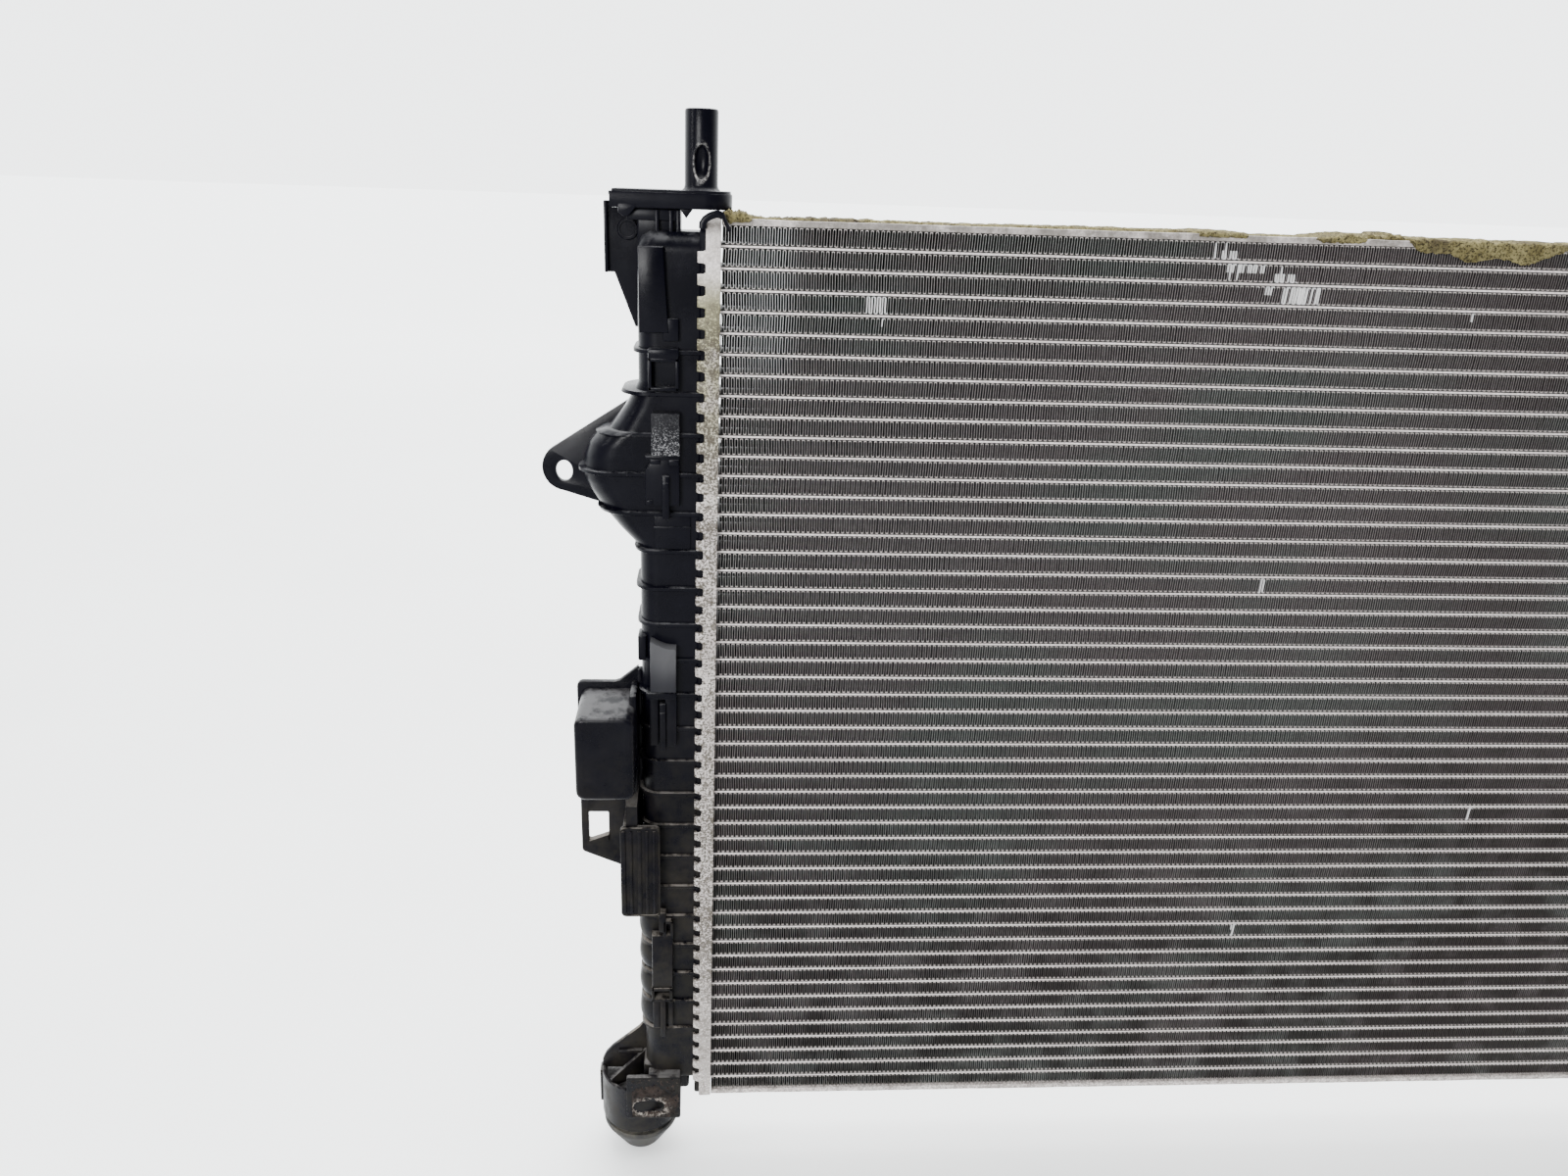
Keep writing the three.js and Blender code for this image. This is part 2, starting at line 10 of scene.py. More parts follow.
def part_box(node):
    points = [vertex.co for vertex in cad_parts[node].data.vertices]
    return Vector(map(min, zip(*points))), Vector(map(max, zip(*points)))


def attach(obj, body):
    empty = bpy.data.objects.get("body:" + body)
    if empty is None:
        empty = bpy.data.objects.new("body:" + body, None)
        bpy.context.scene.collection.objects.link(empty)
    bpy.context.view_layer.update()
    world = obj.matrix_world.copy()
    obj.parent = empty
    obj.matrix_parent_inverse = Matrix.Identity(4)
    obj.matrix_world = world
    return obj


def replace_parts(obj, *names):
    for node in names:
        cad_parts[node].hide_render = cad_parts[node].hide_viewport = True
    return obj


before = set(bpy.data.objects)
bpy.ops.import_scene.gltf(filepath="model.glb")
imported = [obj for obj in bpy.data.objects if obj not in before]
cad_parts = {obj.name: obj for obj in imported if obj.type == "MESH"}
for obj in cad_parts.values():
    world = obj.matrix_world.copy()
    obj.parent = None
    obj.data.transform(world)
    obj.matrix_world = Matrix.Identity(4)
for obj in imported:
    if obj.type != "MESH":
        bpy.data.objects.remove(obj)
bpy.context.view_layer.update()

MM = 0.001
BODY = "radiator"

# Places taken from the frame. Pieces are laid out in millimetres, as on a drawing of one end:
# x = 0 at the header's core face and negative outwards, y = 0 at the core's front face,
# z = 0 at the middle of the top tube.
HEADER_TOP = 12.0
EDGE_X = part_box("left_header")[1][0]
FRONT_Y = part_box("core_section_01")[0][1]
TUBE_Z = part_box("left_header")[1][2] - HEADER_TOP * MM
CORE_WIDTH = -2 * EDGE_X / MM
CORE_DEPTH = 26.0
PITCH = 9.2
TUBES = 50
TUBE_HEIGHT = 1.8
HEADER_FRONT = -6.0
HEADER_BACK = 32.0
HEADER_BOTTOM = -463.0
HEADER_DEPTH = 6.5
TAB_REACH = 10.0
TANK_X = -36.2
TANK_FRONT = -3.0
TANK_BACK = 29.0
TANK_TOP = 5.5
TANK_BOTTOM = -450.0
MID_Y = 13.0
BULGE = {"left": -100.0, "right": -340.0}
SECTIONS = 17
TUBES_PER_SECTION = 3
TOP_PLATE = 8.6
BOTTOM_PLATE = -459.4
RINGS = 21
LOUVRES_Y = 14.9
FOOT_X = -40.0
PEG_X = -8.8
SCOOP_X, SCOOP_Z, SCOOP_WIDTH, SCOOP_HEIGHT = -8.6, 33.4, 3.3, 7.4


def side_matrix(side):
    """Millimetres of one end's drawing to metres in the frame; the right end is a mirror image."""
    turn = 1 if side == "left" else -1
    place = Matrix.Translation((EDGE_X * turn, FRONT_Y, TUBE_Z))
    return place @ Matrix.Diagonal((MM * turn, MM, MM, 1))


# ---------------------------------------------------------------- meshes

def add_object(name, data):
    """A new object in the scene's collection."""
    obj = bpy.data.objects.new(name, data)
    bpy.context.scene.collection.objects.link(obj)
    return obj


class Shape:
    """Points and faces in drawing millimetres, gathered before they become one object."""

    def __init__(self):
        self.points = []
        self.faces = []

    def add(self, points, faces):
        start = len(self.points)
        self.points += [tuple(p) for p in points]
        self.faces += [tuple(start + i for i in face) for face in faces]
        return self

    def join(self, *others):
        for other in others:
            self.add(other.points, other.faces)
        return self

    def box(self, *limits):
        return self.join(rounded_box(*limits))

    def boxes(self, *rows):
        for row in rows:
            self.box(*row)
        return self


def make(name, shape, material, side="left", smooth=35, body=BODY):
    """A finished piece from a Shape, riding on its body."""
    mesh = bpy.data.meshes.new(name)
    matrix = side_matrix(side)
    mesh.from_pydata([matrix @ Vector(p) for p in shape.points], [], shape.faces)
    build = bmesh.new()
    build.from_mesh(mesh)
    bmesh.ops.recalc_face_normals(build, faces=build.faces)
    build.to_mesh(mesh)
    build.free()
    mesh.polygons.foreach_set("use_smooth", [True] * len(mesh.polygons))
    mesh.set_sharp_from_angle(angle=math.radians(smooth))
    obj = add_object(name, mesh)
    obj.data.materials.append(material)
    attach(obj, body)
    return obj


def moulding(name, shape, side="left", material=None, smooth=40, body=BODY):
    """A finished piece of the black plastic."""
    return make(name, shape, material or PLASTIC, side, smooth, body)


def from_bmesh(build):
    build.verts.index_update()
    shape = Shape().add([v.co[:] for v in build.verts], [[v.index for v in f.verts] for f in build.faces])
    build.free()
    return shape


def rounded_box(x0, x1, y0, y1, z0, z1, radius=0.6, segments=2):
    build = bmesh.new()
    size = Matrix.Diagonal((x1 - x0, y1 - y0, z1 - z0, 1))
    place = Matrix.Translation(((x0 + x1) / 2, (y0 + y1) / 2, (z0 + z1) / 2))
    bmesh.ops.create_cube(build, size=1, matrix=place @ size)
    if radius:
        limit = 0.45 * min(x1 - x0, y1 - y0, z1 - z0)
        bmesh.ops.bevel(build, geom=build.edges[:], offset=min(radius, limit), segments=segments,
                        profile=0.5, affect="EDGES")
    return from_bmesh(build)


AXES = {
    "x": lambda a, b, h: (h, a, b),   # outline in y and z
    "y": lambda a, b, h: (a, h, b),   # outline in x and z
    "z": lambda a, b, h: (a, b, h),   # outline in x and y
}


def plate(loops, axis, low, high, round_edge=0.4):
    """A flat plate with rounded edges from outlines: the first is the rim, the others are holes."""
    curve = bpy.data.curves.new("plate", "CURVE")
    curve.dimensions = "2D"
    curve.fill_mode = "BOTH"
    curve.extrude = (high - low) / 2 - round_edge
    curve.bevel_depth = round_edge
    curve.bevel_resolution = 1
    curve.offset = -round_edge
    for loop in loops:
        spline = curve.splines.new("POLY")
        spline.points.add(len(loop) - 1)
        for point, (a, b) in zip(spline.points, loop):
            point.co = (a, b, 0, 1)
        spline.use_cyclic_u = True
    holder = add_object("plate", curve)
    mesh = holder.to_mesh()
    build = bmesh.new()
    build.from_mesh(mesh)
    bmesh.ops.remove_doubles(build, verts=build.verts, dist=0.001)
    holder.to_mesh_clear()
    bpy.data.objects.remove(holder)
    bpy.data.curves.remove(curve)
    middle = (low + high) / 2
    for vert in build.verts:
        a, b, h = vert.co
        vert.co = AXES[axis](a, b, middle + h)
    return from_bmesh(build)


def lathe(profile, axis, a, b, sides=64):
    """Turns [radius, height] points round an axis that passes through a, b."""
    points = []
    faces = []
    for radius, height in profile:
        for step in range(sides):
            turn = 2 * math.pi * step / sides
            points.append(AXES[axis](a + radius * math.cos(turn), b + radius * math.sin(turn), height))
    for ring in range(len(profile) - 1):
        for step in range(sides):
            other = (step + 1) % sides
            faces.append((ring * sides + step, ring * sides + other,
                          (ring + 1) * sides + other, (ring + 1) * sides + step))
    shape = Shape().add(points, faces)
    if profile[0][0] > 0 and profile[0] != profile[-1]:
        shape.faces.append(tuple(range(sides)))
        shape.faces.append(tuple((len(profile) - 1) * sides + s for s in range(sides)))
    build = bmesh.new()
    verts = [build.verts.new(p) for p in shape.points]
    for face in shape.faces:
        build.faces.new([verts[i] for i in face])
    bmesh.ops.remove_doubles(build, verts=build.verts, dist=0.0005)
    return from_bmesh(build)


def loft(rings, closed_ends=True):
    """Skins equal closed rings of points one after another."""
    count = len(rings[0])
    points = [p for ring in rings for p in ring]
    faces = []
    for level in range(len(rings) - 1):
        for step in range(count):
            other = (step + 1) % count
            faces.append((level * count + step, level * count + other,
                          (level + 1) * count + other, (level + 1) * count + step))
    if closed_ends:
        faces.append(tuple(range(count)))
        faces.append(tuple((len(rings) - 1) * count + s for s in range(count)))
    return Shape().add(points, faces)


def arc(cx, cy, radius, start, end, steps=8):
    """Points on an arc, angles in degrees."""
    angles = [math.radians(start + (end - start) * i / steps) for i in range(steps + 1)]
    return [(cx + radius * math.cos(t), cy + radius * math.sin(t)) for t in angles]


def rounded_rectangle(a0, a1, b0, b1, radius, steps=6):
    return (arc(a1 - radius, b0 + radius, radius, -90, 0, steps)
            + arc(a1 - radius, b1 - radius, radius, 0, 90, steps)
            + arc(a0 + radius, b1 - radius, radius, 90, 180, steps)
            + arc(a0 + radius, b0 + radius, radius, 180, 270, steps))


# ---------------------------------------------------------------- materials

class Nodes:
    """Small helper that wires one material's nodes."""

    def __init__(self, name, material=None):
        self.material = material or bpy.data.materials.new(name)
        self.material.use_nodes = True
        self.tree = self.material.node_tree
        self.shader = self.tree.nodes["Principled BSDF"]
        self.place = self.node("ShaderNodeTexCoord").outputs["Object"]

    def node(self, kind, **settings):
        made = self.tree.nodes.new(kind)
        for key, value in settings.items():
            setattr(made, key, value)
        return made

    def put(self, socket, value):
        if isinstance(value, bpy.types.NodeSocket):
            self.tree.links.new(value, socket)
        else:
            socket.default_value = value

    def noise(self, scale, detail=4.0, rough=0.6, stretch=(1, 1, 1)):
        mapping = self.node("ShaderNodeMapping")
        self.put(mapping.inputs["Vector"], self.place)
        mapping.inputs["Scale"].default_value = stretch
        made = self.node("ShaderNodeTexNoise")
        self.put(made.inputs["Vector"], mapping.outputs["Vector"])
        self.put(made.inputs["Scale"], scale)
        self.put(made.inputs["Detail"], detail)
        self.put(made.inputs["Roughness"], rough)
        return made.outputs["Fac"]

    def math(self, operation, a, b=0.5, clamp=False):
        made = self.node("ShaderNodeMath", operation=operation, use_clamp=clamp)
        self.put(made.inputs[0], a)
        self.put(made.inputs[1], b)
        return made.outputs[0]

    def times(self, a, b, clamp=False):
        return self.math("MULTIPLY", a, b, clamp)

    def plus(self, a, b, clamp=False):
        return self.math("ADD", a, b, clamp)

    def minus(self, a, b):
        return self.math("SUBTRACT", a, b)

    def size(self, value):
        return self.math("ABSOLUTE", value, 0)

    def span(self, value, low, high, to_low=0.0, to_high=1.0):
        """Maps a value from one range onto another, smoothly and clamped."""
        made = self.node("ShaderNodeMapRange", interpolation_type="SMOOTHSTEP")
        for index, item in enumerate((value, low, high, to_low, to_high)):
            self.put(made.inputs[index], item)
        return made.outputs[0]

    def axis(self, name):
        made = self.node("ShaderNodeSeparateXYZ")
        self.put(made.inputs[0], self.place)
        return made.outputs[name]

    def facing(self, name):
        """How far the surface faces along an axis."""
        made = self.node("ShaderNodeSeparateXYZ")
        self.put(made.inputs[0], self.node("ShaderNodeNewGeometry").outputs["Normal"])
        return made.outputs[name]

    def from_tube(self):
        """Height from the middle of the nearest tube, in millimetres."""
        rise = self.minus(self.axis("Z"), TUBE_Z - 2 * TUBES * PITCH * MM)
        rows = self.math("DIVIDE", rise, PITCH * MM)
        middle = self.size(self.minus(self.math("FRACT", rows), 0.5))
        return self.times(self.minus(0.5, middle), PITCH)

    def tint(self, socket, value):
        """Puts in a colour: another node's output, or red, green and blue."""
        self.put(socket, value if isinstance(value, bpy.types.NodeSocket) else (*value, 1))

    def mix(self, factor, a, b):
        made = self.node("ShaderNodeMix", data_type="RGBA")
        self.put(made.inputs["Factor"], factor)
        self.tint(made.inputs[6], a)
        self.tint(made.inputs[7], b)
        return made.outputs[2]

    def bump(self, height, distance, strength=1.0, under=None):
        made = self.node("ShaderNodeBump")
        self.put(made.inputs["Height"], height)
        self.put(made.inputs["Distance"], distance)
        self.put(made.inputs["Strength"], strength)
        if under is not None:
            self.put(made.inputs["Normal"], under)
        return made.outputs["Normal"]

    def finish(self, color, roughness, metallic, normal=None, specular=0.5):
        self.tint(self.shader.inputs["Base Color"], color)
        self.put(self.shader.inputs["Roughness"], roughness)
        self.put(self.shader.inputs["Metallic"], metallic)
        self.shader.inputs["Specular IOR Level"].default_value = specular
        if normal is not None:
            self.put(self.shader.inputs["Normal"], normal)
        return self.material


def z_of(millimetres):
    return TUBE_Z + millimetres * MM


def moulded_plastic(name="moulded_plastic", dust=1.0):
    """Glass-filled nylon: blue-black satin, fine grain, scuffs, and road dust low down."""
    n = Nodes(name)
    fine = n.noise(2600, 2, 0.5)
    mottle = n.noise(38, 5, 0.62)
    blotch = n.noise(95, 6, 0.7)
    height = n.axis("Z")
    low = n.span(height, z_of(-190), z_of(-330))
    up = n.span(n.facing("Z"), 0.3, 0.85)
    base = n.mix(n.span(mottle, 0.3, 0.7), (0.0012, 0.0012, 0.0032), (0.003, 0.003, 0.0058))
    film = n.times(n.times(n.span(blotch, 0.36, 0.66), low), 0.75 * dust, clamp=True)
    color = n.mix(film, base, (0.013, 0.0115, 0.0085))
    haze = n.times(n.times(n.span(mottle, 0.45, 0.68), low), 0.3 * dust, clamp=True)
    color = n.mix(haze, color, (0.035, 0.03, 0.024))
    ledges = n.times(n.times(up, low), n.span(height, z_of(-446), z_of(-428), 0.12, 1.0))
    settled = n.times(ledges, n.span(blotch, 0.4, 0.6), clamp=True)
    color = n.mix(n.times(settled, 0.85), color, (0.22, 0.19, 0.155))
    traces = n.times(n.times(up, 0.5), n.span(blotch, 0.42, 0.6))
    color = n.mix(traces, color, (0.11, 0.11, 0.115))
    scuff = n.span(n.noise(900, 3, 0.7, stretch=(1, 0.3, 0.06)), 0.68, 0.8)
    color = n.mix(n.times(scuff, 0.2), color, (0.04, 0.04, 0.045))
    worn = n.plus(n.times(film, 0.3), n.times(settled, 0.4))
    rough = n.plus(n.span(mottle, 0.3, 0.7, 0.22, 0.34), worn, clamp=True)
    normal = n.bump(fine, 0.00004, 0.5, n.bump(blotch, 0.00012, 0.35))
    return n.finish(color, rough, 0.0, normal, 0.09)


def sparkle_pad():
    """Spark-eroded grain of the moulded pads, with painted light: fine bright pits that stand for a grainy
    face catching the light, brighter lower down.
    """
    n = Nodes("sparkle_pad")
    grain = n.noise(1700, 3, 0.75)
    # painted light: the bright pits are painted glints, faint at the top and strongest towards the bottom
    # of the pad
    fade = n.span(n.axis("Z"), z_of(-74), z_of(-89), 0.12, 1.0)
    painted_glints = n.times(n.span(grain, 0.52, 0.62), fade)
    base = n.mix(painted_glints, (0.003, 0.003, 0.005), (0.3, 0.3, 0.31))
    normal = n.bump(grain, 0.00025, 0.9)
    return n.finish(base, n.span(n.noise(300, 3), 0.3, 0.7, 0.3, 0.5), 0.0, normal, 0.15)


def grey_pad():
    """A moulded pad with a fine matt grain that reads grey."""
    n = Nodes("grey_pad")
    grain = n.noise(3800, 2, 0.6)
    sweep = n.noise(60, 3, 0.5, stretch=(1, 1, 0.3))
    fade = n.span(n.axis("Z"), z_of(-207), z_of(-184))
    base = n.mix(n.span(n.plus(fade, sweep), 0.4, 1.5), (0.016, 0.016, 0.02), (0.06, 0.06, 0.064))
    return n.finish(base, n.span(grain, 0.3, 0.7, 0.42, 0.6), 0.0, n.bump(grain, 0.00008, 0.6), 0.15)


def header_sheet():
    """Dull brazed sheet: warm pale grey, dark speckle, olive stain near the top, soil lower down."""
    n = Nodes("header_sheet")
    speck = n.noise(900, 4, 0.7)
    patch = n.noise(70, 5, 0.65)
    wide = n.noise(16, 3, 0.6)
    height = n.axis("Z")
    base = n.mix(n.span(patch, 0.3, 0.7), (0.62, 0.565, 0.54), (0.9, 0.84, 0.81))
    near_top = n.times(n.span(height, z_of(-130), z_of(-50)), n.span(height, z_of(-6), z_of(-26)))
    olive = n.times(near_top, n.span(patch, 0.25, 0.5))
    base = n.mix(n.times(olive, 0.9), base, (0.33, 0.32, 0.15))
    soot = n.times(n.span(height, z_of(1), z_of(10)), n.span(patch, 0.3, 0.55))
    base = n.mix(n.times(soot, 0.8), base, (0.1, 0.09, 0.075))
    worn = n.times(n.span(height, z_of(-10), z_of(-45), 0.3, 1.0),
                  n.span(height, z_of(-450), z_of(-330), 0.55, 1.0))
    base = n.mix(n.times(worn, 0.3), base, (0.2, 0.175, 0.15))
    cover = n.plus(speck, n.times(n.minus(wide, 0.5), 0.35))
    dirt = n.times(n.span(cover, 0.47, 0.515), worn)
    base = n.mix(n.times(dirt, 0.9), base, (0.045, 0.036, 0.022))
    spots = n.times(n.span(n.noise(300, 4, 0.7), 0.53, 0.6), worn)
    base = n.mix(n.times(spots, 0.8), base, (0.07, 0.058, 0.04))
    rough = n.span(patch, 0.3, 0.7, 0.45, 0.68)
    normal = n.bump(speck, 0.00012, 0.7, n.bump(patch, 0.0003, 0.25))
    return n.finish(base, rough, 0.15, normal)


def tube_metal():
    """Bare tube noses: bright, faintly pink, pitted and dirty in places; painted shade darkens each nose
    towards the fins and turns the tubes near black inside the core.
    """
    n = Nodes("tube_metal")
    speck = n.noise(1100, 4, 0.7)
    wide = n.noise(14, 4, 0.6, stretch=(1, 1, 3))
    base = n.mix(n.span(speck, 0.35, 0.65), (0.6, 0.54, 0.52), (0.95, 0.88, 0.86))
    # painted shade: past the front and back noses, inside the core, the tubes are coloured near black
    deep = n.span(n.axis("Y"), FRONT_Y + 0.7 * MM, FRONT_Y + 2.2 * MM)
    far = n.span(n.axis("Y"), FRONT_Y + 25.3 * MM, FRONT_Y + 23.8 * MM)
    inner = n.times(deep, far)
    soil = n.times(n.span(wide, 0.48, 0.7), n.span(speck, 0.4, 0.6))
    base = n.mix(n.times(soil, 0.55), base, (0.25, 0.2, 0.17))
    base = n.mix(inner, base, (0.03, 0.028, 0.027))
    # painted shade: each nose darkens away from its middle line, towards the fins
    base = n.mix(n.span(n.from_tube(), 0.3, 0.52), base, (0.03, 0.027, 0.025))
    return n.finish(base, n.span(speck, 0.3, 0.7, 0.3, 0.5), 0.2, n.bump(speck, 0.0001, 0.5))


def fin_metal():
    """Folded fins: light cut edges at both faces, with painted highlights on the crests; deeper in, between
    the faces, painted shade turns them near black, and near the left header their walls are painted lit.
    """
    n = Nodes("fin_metal")
    cloud = n.noise(6, 3, 0.55, stretch=(1, 1, 1.6))
    patch = n.noise(45, 4, 0.6)
    grain = n.noise(1300, 3, 0.7)
    depth = n.axis("Y")
    crest = n.span(n.from_tube(), 1.75, 1.05)
    reach = n.plus(n.times(crest, 0.9 * MM), 0.56 * MM)
    behind = n.minus(FRONT_Y + CORE_DEPTH * MM, depth)
    inward = n.math("MINIMUM", n.minus(depth, FRONT_Y), behind)
    edge = n.span(n.math("DIVIDE", inward, reach), 1.15, 0.5)
    # painted shade: away from the core's faces the fins are coloured near black, darker still with depth,
    # for the shade that falls between them
    tint = n.mix(n.span(cloud, 0.44, 0.56), (0.015, 0.02, 0.017), (0.019, 0.013, 0.014))
    dark = n.mix(n.span(patch, 0.35, 0.7), tint, (0.008, 0.007, 0.007))
    dark = n.mix(n.span(inward, 0.8 * MM, 5 * MM), dark, (0.006, 0.006, 0.006))
    # painted light: near the left header the fin walls face the camera and catch the light, so the shade is
    # painted lighter and the walls paler there
    painted_lit_walls = n.times(n.span(n.axis("X"), EDGE_X + 38 * MM, EDGE_X + 24 * MM),
                   n.span(n.axis("Z"), z_of(-72), z_of(-34)))
    painted_lit_walls = n.times(painted_lit_walls, n.span(depth, FRONT_Y + 12 * MM, FRONT_Y + 7 * MM))
    dark = n.mix(n.times(painted_lit_walls, n.span(patch, 0.3, 0.6, 0.4, 1.0)), dark, (0.05, 0.05, 0.052))
    soil = n.times(n.span(n.axis("Z"), z_of(-150), z_of(-440)), n.span(patch, 0.3, 0.65))
    corner = n.times(n.span(n.axis("X"), EDGE_X + 0.28, EDGE_X + 0.4), n.span(cloud, 0.35, 0.55))
    soil = n.plus(soil, n.times(corner, 0.5), clamp=True)
    light = n.mix(n.span(grain, 0.35, 0.65), (0.13, 0.124, 0.122), (0.3, 0.285, 0.28))
    tinted = n.mix(n.span(cloud, 0.44, 0.56), (0.12, 0.155, 0.135), (0.15, 0.115, 0.115))
    light = n.mix(0.35, light, tinted)
    light = n.mix(n.times(soil, 0.85), light, (0.03, 0.024, 0.021))
    light = n.mix(painted_lit_walls, light, (0.42, 0.42, 0.42))
    # painted highlight: the crests next to the tubes are coloured bright, as where they catch the light
    # from above
    light = n.mix(n.times(crest, 0.75), light, (0.8, 0.73, 0.7))
    color = n.mix(edge, dark, light)
    return n.finish(color, n.span(patch, 0.3, 0.7, 0.38, 0.6), 0.25, n.bump(grain, 0.0001, 0.4))


def bent_fin_metal():
    """Fins folded over by a knock: their walls turn towards the light and are coloured near white, a
    painted highlight on the same fin metal.
    """
    n = Nodes("bent_fin_metal")
    grain = n.noise(1200, 3, 0.7)
    # painted highlight: near-white colour for the bent fin walls that catch the light
    base = n.mix(n.span(grain, 0.3, 0.7), (0.75, 0.74, 0.74), (0.97, 0.96, 0.96))
    return n.finish(base, 0.4, 0.1, n.bump(grain, 0.0001, 0.4))


def rubber():
    n = Nodes("dusty_rubber")
    blotch = n.noise(110, 5, 0.65)
    grain = n.noise(1800, 3, 0.6)
    up = n.span(n.facing("Z"), -0.2, 0.9)
    dust = n.times(n.span(blotch, 0.4, 0.66), n.plus(n.times(up, 0.5), 0.28))
    color = n.mix(dust, (0.008, 0.008, 0.008), (0.1, 0.092, 0.075))
    return n.finish(color, n.span(blotch, 0.3, 0.7, 0.55, 0.8), 0.0, n.bump(grain, 0.0001, 0.5), 0.4)


def crumbling_foam():
    """Decayed foam: tan and olive crumbs, with painted shade in the pits, where the crumb bump is lowest.
    """
    n = Nodes("crumbling_foam")
    crumb = n.noise(900, 5, 0.75)
    patch = n.noise(120, 4, 0.6)
    color = n.mix(n.span(patch, 0.35, 0.65), (0.13, 0.108, 0.042), (0.27, 0.235, 0.105))
    color = n.mix(n.span(n.noise(55, 3), 0.5, 0.68), color, (0.07, 0.055, 0.03))
    # painted shade: where the crumb bump is lowest, in the pits, the colour goes near black
    color = n.mix(n.times(n.span(crumb, 0.54, 0.4), 0.9), color, (0.02, 0.015, 0.008))
    return n.finish(color, 0.95, 0.0, n.bump(crumb, 0.0012, 1.0), 0.2)


def chewed_plastic():
    """Dirty, torn plastic round a slot: bright crumbs on soil."""
    n = Nodes("chewed_plastic")
    crumb = n.noise(420, 6, 0.8)
    patch = n.noise(160, 4, 0.65)
    x = n.minus(n.size(n.axis("X")), -EDGE_X + 33.2 * MM)
    x = n.math("MAXIMUM", n.minus(n.size(x), 4.9 * MM), 0)
    z = n.minus(n.axis("Z"), z_of(-463))
    reach = n.math("SQRT", n.plus(n.times(x, x), n.times(z, z)))
    near = n.span(n.plus(reach, n.times(patch, 4 * MM)), 9.6 * MM, 6.2 * MM)
    color = n.mix(n.span(patch, 0.35, 0.65), (0.012, 0.01, 0.009), (0.06, 0.043, 0.036))
    color = n.mix(n.times(n.span(crumb, 0.47, 0.6), near), color, (0.62, 0.56, 0.5))
    return n.finish(color, 0.8, 0.0, n.bump(crumb, 0.0009, 1.0), 0.3)


PLASTIC = moulded_plastic()
SPARKLE = sparkle_pad()
PAD = grey_pad()
SHEET = header_sheet()
TUBE = tube_metal()
FIN = fin_metal()
BENT = bent_fin_metal()
RUBBER = rubber()
FOAM = crumbling_foam()
CHEWED = chewed_plastic()


# ---------------------------------------------------------------- core

FIN_WAVE = 2.351
FIN_SHEET = 0.22
FIN_FRONT = 0.12
# Knocks on the front face: fin row, start and end along the tubes, sideways push, and the end of
# the fin that is pushed most (1 top, -1 bottom, 0 both).
KNOCKS = [
    (0, 213, 229, 1.25, -1), (1, 219, 241, 1.35, 1), (1, 244, 257, 1.1, -1), (2, 237, 249, 0.9, 1),
    (2, 249, 271, 1.4, 0), (3, 62, 77, 1.2, 0), (3, 337, 343, 1.0, 1), (4, 67, 73, 0.8, 1),
    (9, 446, 450, 0.8, 0), (17, 265, 268, 0.8, 0), (23, 522, 526, 0.9, 1), (31, 404, 407, 0.8, 0),
    (39, 286, 289, 0.8, 0), (39, 408, 411, 0.9, -1), (46, 565, 569, 0.9, 1),
]


def knock_push(row, x, high, leg, chance):
    """Sideways push of a fin's front edge along the row; high runs from 0 to 1 up the fin. About
    half of the legs in a knock are bent over, the others barely move."""
    push = np.zeros_like(x)
    struck = (chance.random(leg.max() + 1) < 0.75) * chance.uniform(0.08, 0.3, leg.max() + 1)
    for knocked, start, end, amount, toward in KNOCKS:
        if knocked != row:
            continue
        middle = (start + end) / 2
        reach = (end - start) / 2
        near = np.clip(1.25 - np.abs((x - middle) / reach) ** 2, 0, 1)
        weight = {1: high, -1: 1 - high, 0: np.full_like(high, 0.9)}[toward]
        push += amount * near * (0.1 + 0.9 * weight) * (0.04 + struck[leg])
    return push


